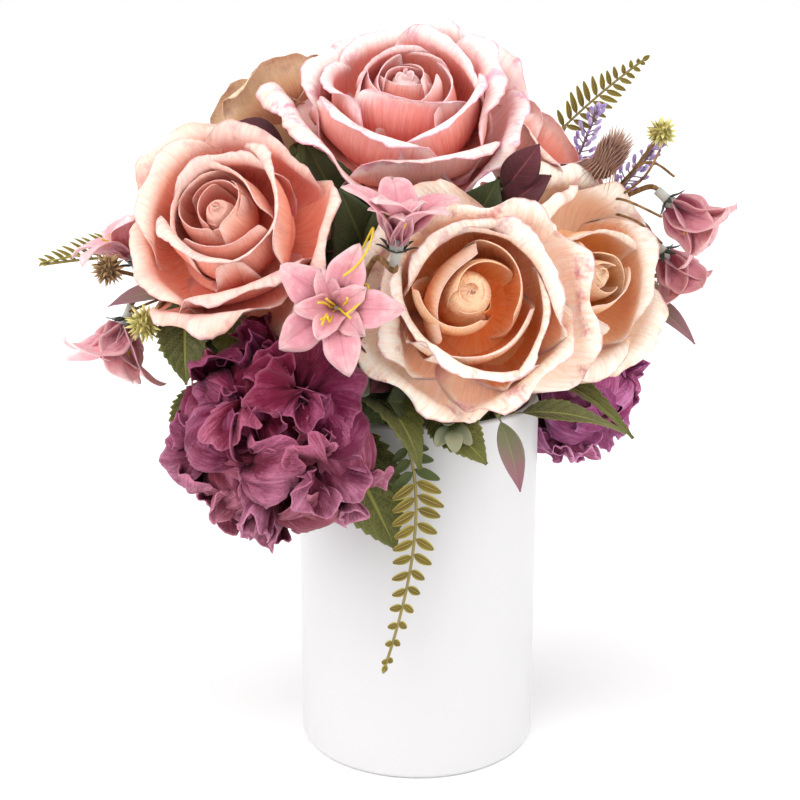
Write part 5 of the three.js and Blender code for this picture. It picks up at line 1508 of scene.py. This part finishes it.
# A leaf has how far along the stem's bend it starts, its tip, the way its upper side looks, and its width.
LEAF_STEMS = [
    dict(name="leaves_burgundy_left", kind="burgundy",
         hole=(-14, 4), end=(-52, -2, 250), arrive=(-0.5, -0.2, 0.7), rise=18,
         leaves=[
             (0.96, (-72, -8, 262), (-0.3, -0.6, 0.7), 13),
             (0.75, (-38, -24, 232), (0, -0.9, 0.4), 13),
             (0.6, (-30, -34, 214), (0, -0.9, 0.4), 13),
         ]),
    dict(name="leaves_burgundy_right", kind="burgundy",
         hole=(12, 0), end=(32, -24, 238), arrive=(0.3, -0.3, 0.9), rise=18,
         leaves=[
             (0.97, (45, -32, 256), (0.2, -0.9, 0.3), 14),
             (0.85, (50, -30, 244), (0.2, -0.9, 0.4), 13),
             (0.7, (8, -40, 230), (0, -0.9, 0.4), 13),
         ]),
    dict(name="leaves_burgundy_low", kind="burgundy",
         hole=(-2, -9), end=(-15, -46, 176), arrive=(0, -0.8, 0.5), rise=18,
         leaves=[
             (0.97, (-24, -66, 187), (0, -0.8, 0.6), 13),
             (0.8, (-18, -66, 168), (0.2, -0.9, 0.3), 13),
         ]),
    dict(name="leaves_dusky_front", kind="dusky",
         hole=(20, -29), end=(30, -55, 156), arrive=(0.1, -0.8, -0.1), rise=18,
         leaves=[(0.97, (38, -64, 129), (0.2, -1, 0.2), 9.5)]),
    dict(name="leaves_dusky_left", kind="dusky",
         hole=(-34, -12), end=(-88, -32, 200), arrive=(-0.8, -0.2, 0.4), rise=18,
         leaves=[(0.96, (-120, -34, 194), (-0.2, -0.6, 0.7), 9)]),
    dict(name="leaves_dusky_right", kind="dusky",
         hole=(36, -1), end=(96, 40, 184), arrive=(0.9, 0, -0.1), rise=18,
         leaves=[(0.96, (119, 24, 166), (0.2, -0.7, 0.7), 10)]),
    dict(name="sprig_left", kind="pale",
         hole=(-12, -33), end=(-27, -62, 178), arrive=(-0.1, -0.8, 0.5), rise=28,
         leaves=[
             (0.97, (-27, -71, 184), (0, -0.8, 0.6), 9),
             (0.88, (-36, -64, 172), (0, -0.8, 0.5), 9),
             (0.8, (-20, -62, 166), (0, -0.8, 0.5), 9),
         ]),
    dict(name="sprig_front", kind="pale",
         hole=(6, -34), end=(12, -64, 152), arrive=(0, -0.9, -0.1), rise=18,
         leaves=[
             (0.97, (13, -73, 148), (0, -0.6, 0.8), 7),
             (0.88, (6, -70, 149), (0, -0.8, 0.5), 6),
             (0.8, (19, -68, 149), (0, -0.8, 0.5), 6),
             (0.74, (10, -66, 156), (0, -0.8, 0.5), 6),
         ]),
    dict(name="sprig_right", kind="pale",
         hole=(36, 6), end=(106, 46, 192), arrive=(0.9, -0.1, 0.1), rise=34,
         leaves=[
             (0.98, (116, 42, 190), (0.2, -0.6, 0.8), 8),
             (0.9, (104, 38, 182), (0, -0.8, 0.5), 8),
             (0.84, (102, 56, 186), (0, -0.4, 0.9), 8),
         ]),
]


def pale_sheer():
    """Frosted pale green plastic that lets light through, with faint veins."""
    pale = Finish("pale_sprig_cloth", Roughness=0.4, Subsurface_Weight=0.4, Subsurface_Scale=2 * MM,
                  Transmission_Weight=0.15)
    place = pale.coords("Object")
    cloud = pale.noise(place, 140)
    colour = pale.mix(cloud, tint("#7f8a6a"), tint("#aab394"))
    veins = pale.noise(pale.coords("UV", (14, 2, 1)), 1, 3)
    return pale.done(colour, pale.step(cloud, 0.3, 0.7, 0.32, 0.5), pale.bump(veins, 0.4, 0.4 * MM))


maroon_print = printed_leaf("maroon_leaf_print", "#341018", "#5a1f2a", "#7a3a40", "#2a0c12", 0.5, 0.35)
dusky_print = printed_leaf("dusky_leaf_print", "#5f6b47", "#8a5364", "#7f7a5c", "#93707a", 0.6, 0.3)
leaf_kinds = {
    "burgundy": (maroon_print, "burgundy_leaf"),
    "dusky": (dusky_print, "dusky_leaf"),
    "pale": (pale_sheer(), "pale_sprig"),
}
for n, group in enumerate(LEAF_STEMS):
    finish, slot = leaf_kinds[group["kind"]]
    bends = stem_bends(group["hole"], group["end"], group["arrive"], LEAF_REACH, group["rise"])
    wire = joined(group["name"] + "_wire", [stalk(bends, LEAF_WIRE)], stem_tape)
    hand_in(wire, slot, group["name"])
    leaves = []
    for k, (at, to, up, width) in enumerate(group["leaves"]):
        start = on_bend(bends, at)
        if group["kind"] == "pale":
            shape = leaflet(start, Vector(to) - start, Vector(up), (Vector(to) - start).length, width)
            leaves.append(blade(shape, *ROUND_LEAF_GRID))
        else:
            shape = leaf_shape(start, to, up, width, quilt=0.15)
            leaves.append(blade(shape, *NARROW_LEAF_GRID, tone=jitter(n + k)))
    hand_in(joined(group["name"] + "_leaves", leaves, finish, CLOTH), slot, group["name"])

# ---------- deep leaves ----------
# Dark printed cloth leaves fill the space under the roses, so that no foam shows between the stems. Their
# near-black colour is partly painted shade, standing for the deep shadow between the flowers. Most stand in a
# collar round the middle, the rest at the front, taped by their stalks to the nearest stems.
COLLAR_LEAVES = 26
COLLAR_START = 12
COLLAR_FOOT = (146, 190)
COLLAR_REACH = (50, 34)
COLLAR_TOP = (160, 226)
COLLAR_WIDTH = 19
BUNCH_WIDTH = 24
BUNCH_UP = (0, -0.9, 0.4)

# Where each leaf of the bunch starts, and its tip.
BUNCH = [
    ((-4, -36, 158), (-28, -58, 180)),
    ((0, -40, 156), (-12, -64, 164)),
    ((-14, -16, 192), (-30, -38, 240)),
    ((-22, -12, 196), (-44, -24, 222)),
    ((-8, -18, 196), (-12, -44, 240)),
    ((-40, -24, 168), (-84, -46, 184)),
    ((-12, -24, 180), (-40, -44, 196)),
    ((2, -24, 176), (-8, -50, 204)),
    ((-30, -20, 160), (-66, -44, 176)),
    ((-20, -10, 206), (-44, -18, 255)),
    ((14, -10, 204), (30, -26, 242)),
]
# The near-black print is painted shade for the gaps deep between the flowers.
shade_dark_print = printed_leaf("shade_dark_leaf_print", "#1d2413", "#39421f", "#59602f", "#2b3118", 0.55, 0.4)
deep_leaves = []
for i in range(COLLAR_LEAVES):
    around = i * GOLDEN_ANGLE
    level = i / COLLAR_LEAVES
    out = Vector((math.cos(around), math.sin(around), 0))
    start = out * COLLAR_START + Vector((0, 0, mix(*COLLAR_FOOT, level)))
    to = out * mix(*COLLAR_REACH, level) + Vector((0, 0, mix(*COLLAR_TOP, level)))
    up = (Vector((0, 0, 1)) - out * 0.6).normalized()
    shape = leaf_shape(start, to, up, COLLAR_WIDTH, lift=0.16, fold=0.3, teeth=0.1, quilt=0.3)
    deep_leaves.append(blade(shape, *NARROW_LEAF_GRID, tone=jitter(i)))
for k, (start, to) in enumerate(BUNCH):
    shape = leaf_shape(start, to, BUNCH_UP, BUNCH_WIDTH, lift=0.12, fold=0.2, teeth=0.05, quilt=0.3)
    deep_leaves.append(blade(shape, *NARROW_LEAF_GRID, tone=jitter(k)))
hand_in(joined("deep_leaves", deep_leaves, shade_dark_print, CLOTH), "serrated_leaf")

# ---------- side leaves ----------
# Five saw-edged leaves of the same pressed and printed polyester as those on the hydrangeas' stems. They
# stand beside the two front balls of florets and between them.
SIDE_GRID = (24, 80)
SIDE_LEAVES = [
    dict(start=(-88, -36, 203), to=(-88, -54, 168), up=(-0.2, -1, 0.2), width=21),
    dict(start=(-80, -34, 168), to=(-94, -48, 138), up=(-0.2, -1, 0.2), width=17),
    dict(start=(-58, -40, 186), to=(-36, -62, 190), up=(-0.2, -1, 0.2), width=18),
    dict(start=(36, -34, 151), to=(84, -20, 139), up=(0.1, -0.3, 1), width=15),
    dict(start=(2, -48, 158), to=(25, -68, 141), up=(0.1, -0.8, 0.6), width=19),
]
side_leaves = []
for k, leaf in enumerate(SIDE_LEAVES):
    shape = leaf_shape(**leaf, lift=0.08, fold=0.2, teeth=0.16, quilt=0.4)
    side_leaves.append(blade(shape, *SIDE_GRID, tone=jitter(k)))
hand_in(joined("side_leaves", side_leaves, serrated_print, CLOTH), "serrated_leaf")

# ---------- studio ----------
# A wide pale floor under even soft light, seen from the front and a little above, as the photograph is.
FLOOR_HALF = 60.0
CAMERA_PLACE = (-0.0074, -0.591, 0.306)
CAMERA_PITCH = 15
FOCAL_PIXELS = 1470
FRAME_PIXELS = 800
SENSOR = 36.0
HORIZON_FADE = (0.16, 0.45)
HORIZON_LIGHT = 1.0
SKY_LIGHT = 0.33
KEY_PLACE = (-1.0, -0.55, 1.15)
KEY_STRENGTH = 2.6
FILL_PLACE = (1.0, -0.4, 1.0)
FILL_STRENGTH = 1.9
LIGHT_SPREAD = 1.3


def pale_floor():
    """Matte white card."""
    floor = Finish("pale_floor", Roughness=0.6, Specular_IOR_Level=0.2)
    grain = floor.noise(floor.coords("Object"), 3)
    return floor.done(floor.mix(grain, tint("#fdfdfd"), tint("#ffffff")))


bpy.ops.object.select_all(action="DESELECT")
bpy.ops.mesh.primitive_grid_add(x_subdivisions=8, y_subdivisions=8, size=2 * FLOOR_HALF)
floor = bpy.context.object
floor.name = "studio_floor"
floor.data.materials.append(pale_floor())

world = bpy.data.worlds.new("studio")
world.use_nodes = True
bpy.context.scene.world = world
sky = world.node_tree
sky_place = sky.nodes.new("ShaderNodeTexCoord")
sky_parts = sky.nodes.new("ShaderNodeSeparateXYZ")
sky_fade = sky.nodes.new("ShaderNodeMapRange")
sky_fade.inputs["From Min"].default_value = HORIZON_FADE[0]
sky_fade.inputs["From Max"].default_value = HORIZON_FADE[1]
sky_fade.inputs["To Min"].default_value = HORIZON_LIGHT
sky_fade.inputs["To Max"].default_value = SKY_LIGHT
sky.links.new(sky_place.outputs["Generated"], sky_parts.inputs["Vector"])
sky.links.new(sky_parts.outputs["Z"], sky_fade.inputs["Value"])
sky.links.new(sky_fade.outputs["Result"], sky.nodes["Background"].inputs["Strength"])
sky.nodes["Background"].inputs["Color"].default_value = (1, 1, 1, 1)
bpy.context.scene.view_settings.view_transform = "Standard"


def soft_light(name, place, spread, strength):
    """A broad soft light that falls evenly on flowers and floor from the side of a place."""
    light = bpy.data.lights.new(name, "SUN")
    light.angle = spread
    light.energy = strength
    lamp = bpy.data.objects.new(name, light)
    lamp.location = place
    lamp.rotation_euler = Vector(place).to_track_quat("Z", "Y").to_euler()
    bpy.context.scene.collection.objects.link(lamp)


soft_light("key", KEY_PLACE, LIGHT_SPREAD, KEY_STRENGTH)
soft_light("fill", FILL_PLACE, LIGHT_SPREAD, FILL_STRENGTH)

camera_data = bpy.data.cameras.new("camera")
camera_data.sensor_width = SENSOR
camera_data.lens = FOCAL_PIXELS / FRAME_PIXELS * SENSOR
camera = bpy.data.objects.new("camera", camera_data)
camera.location = CAMERA_PLACE
camera.rotation_euler = (math.radians(90 - CAMERA_PITCH), 0, 0)
bpy.context.scene.collection.objects.link(camera)
bpy.context.scene.camera = camera
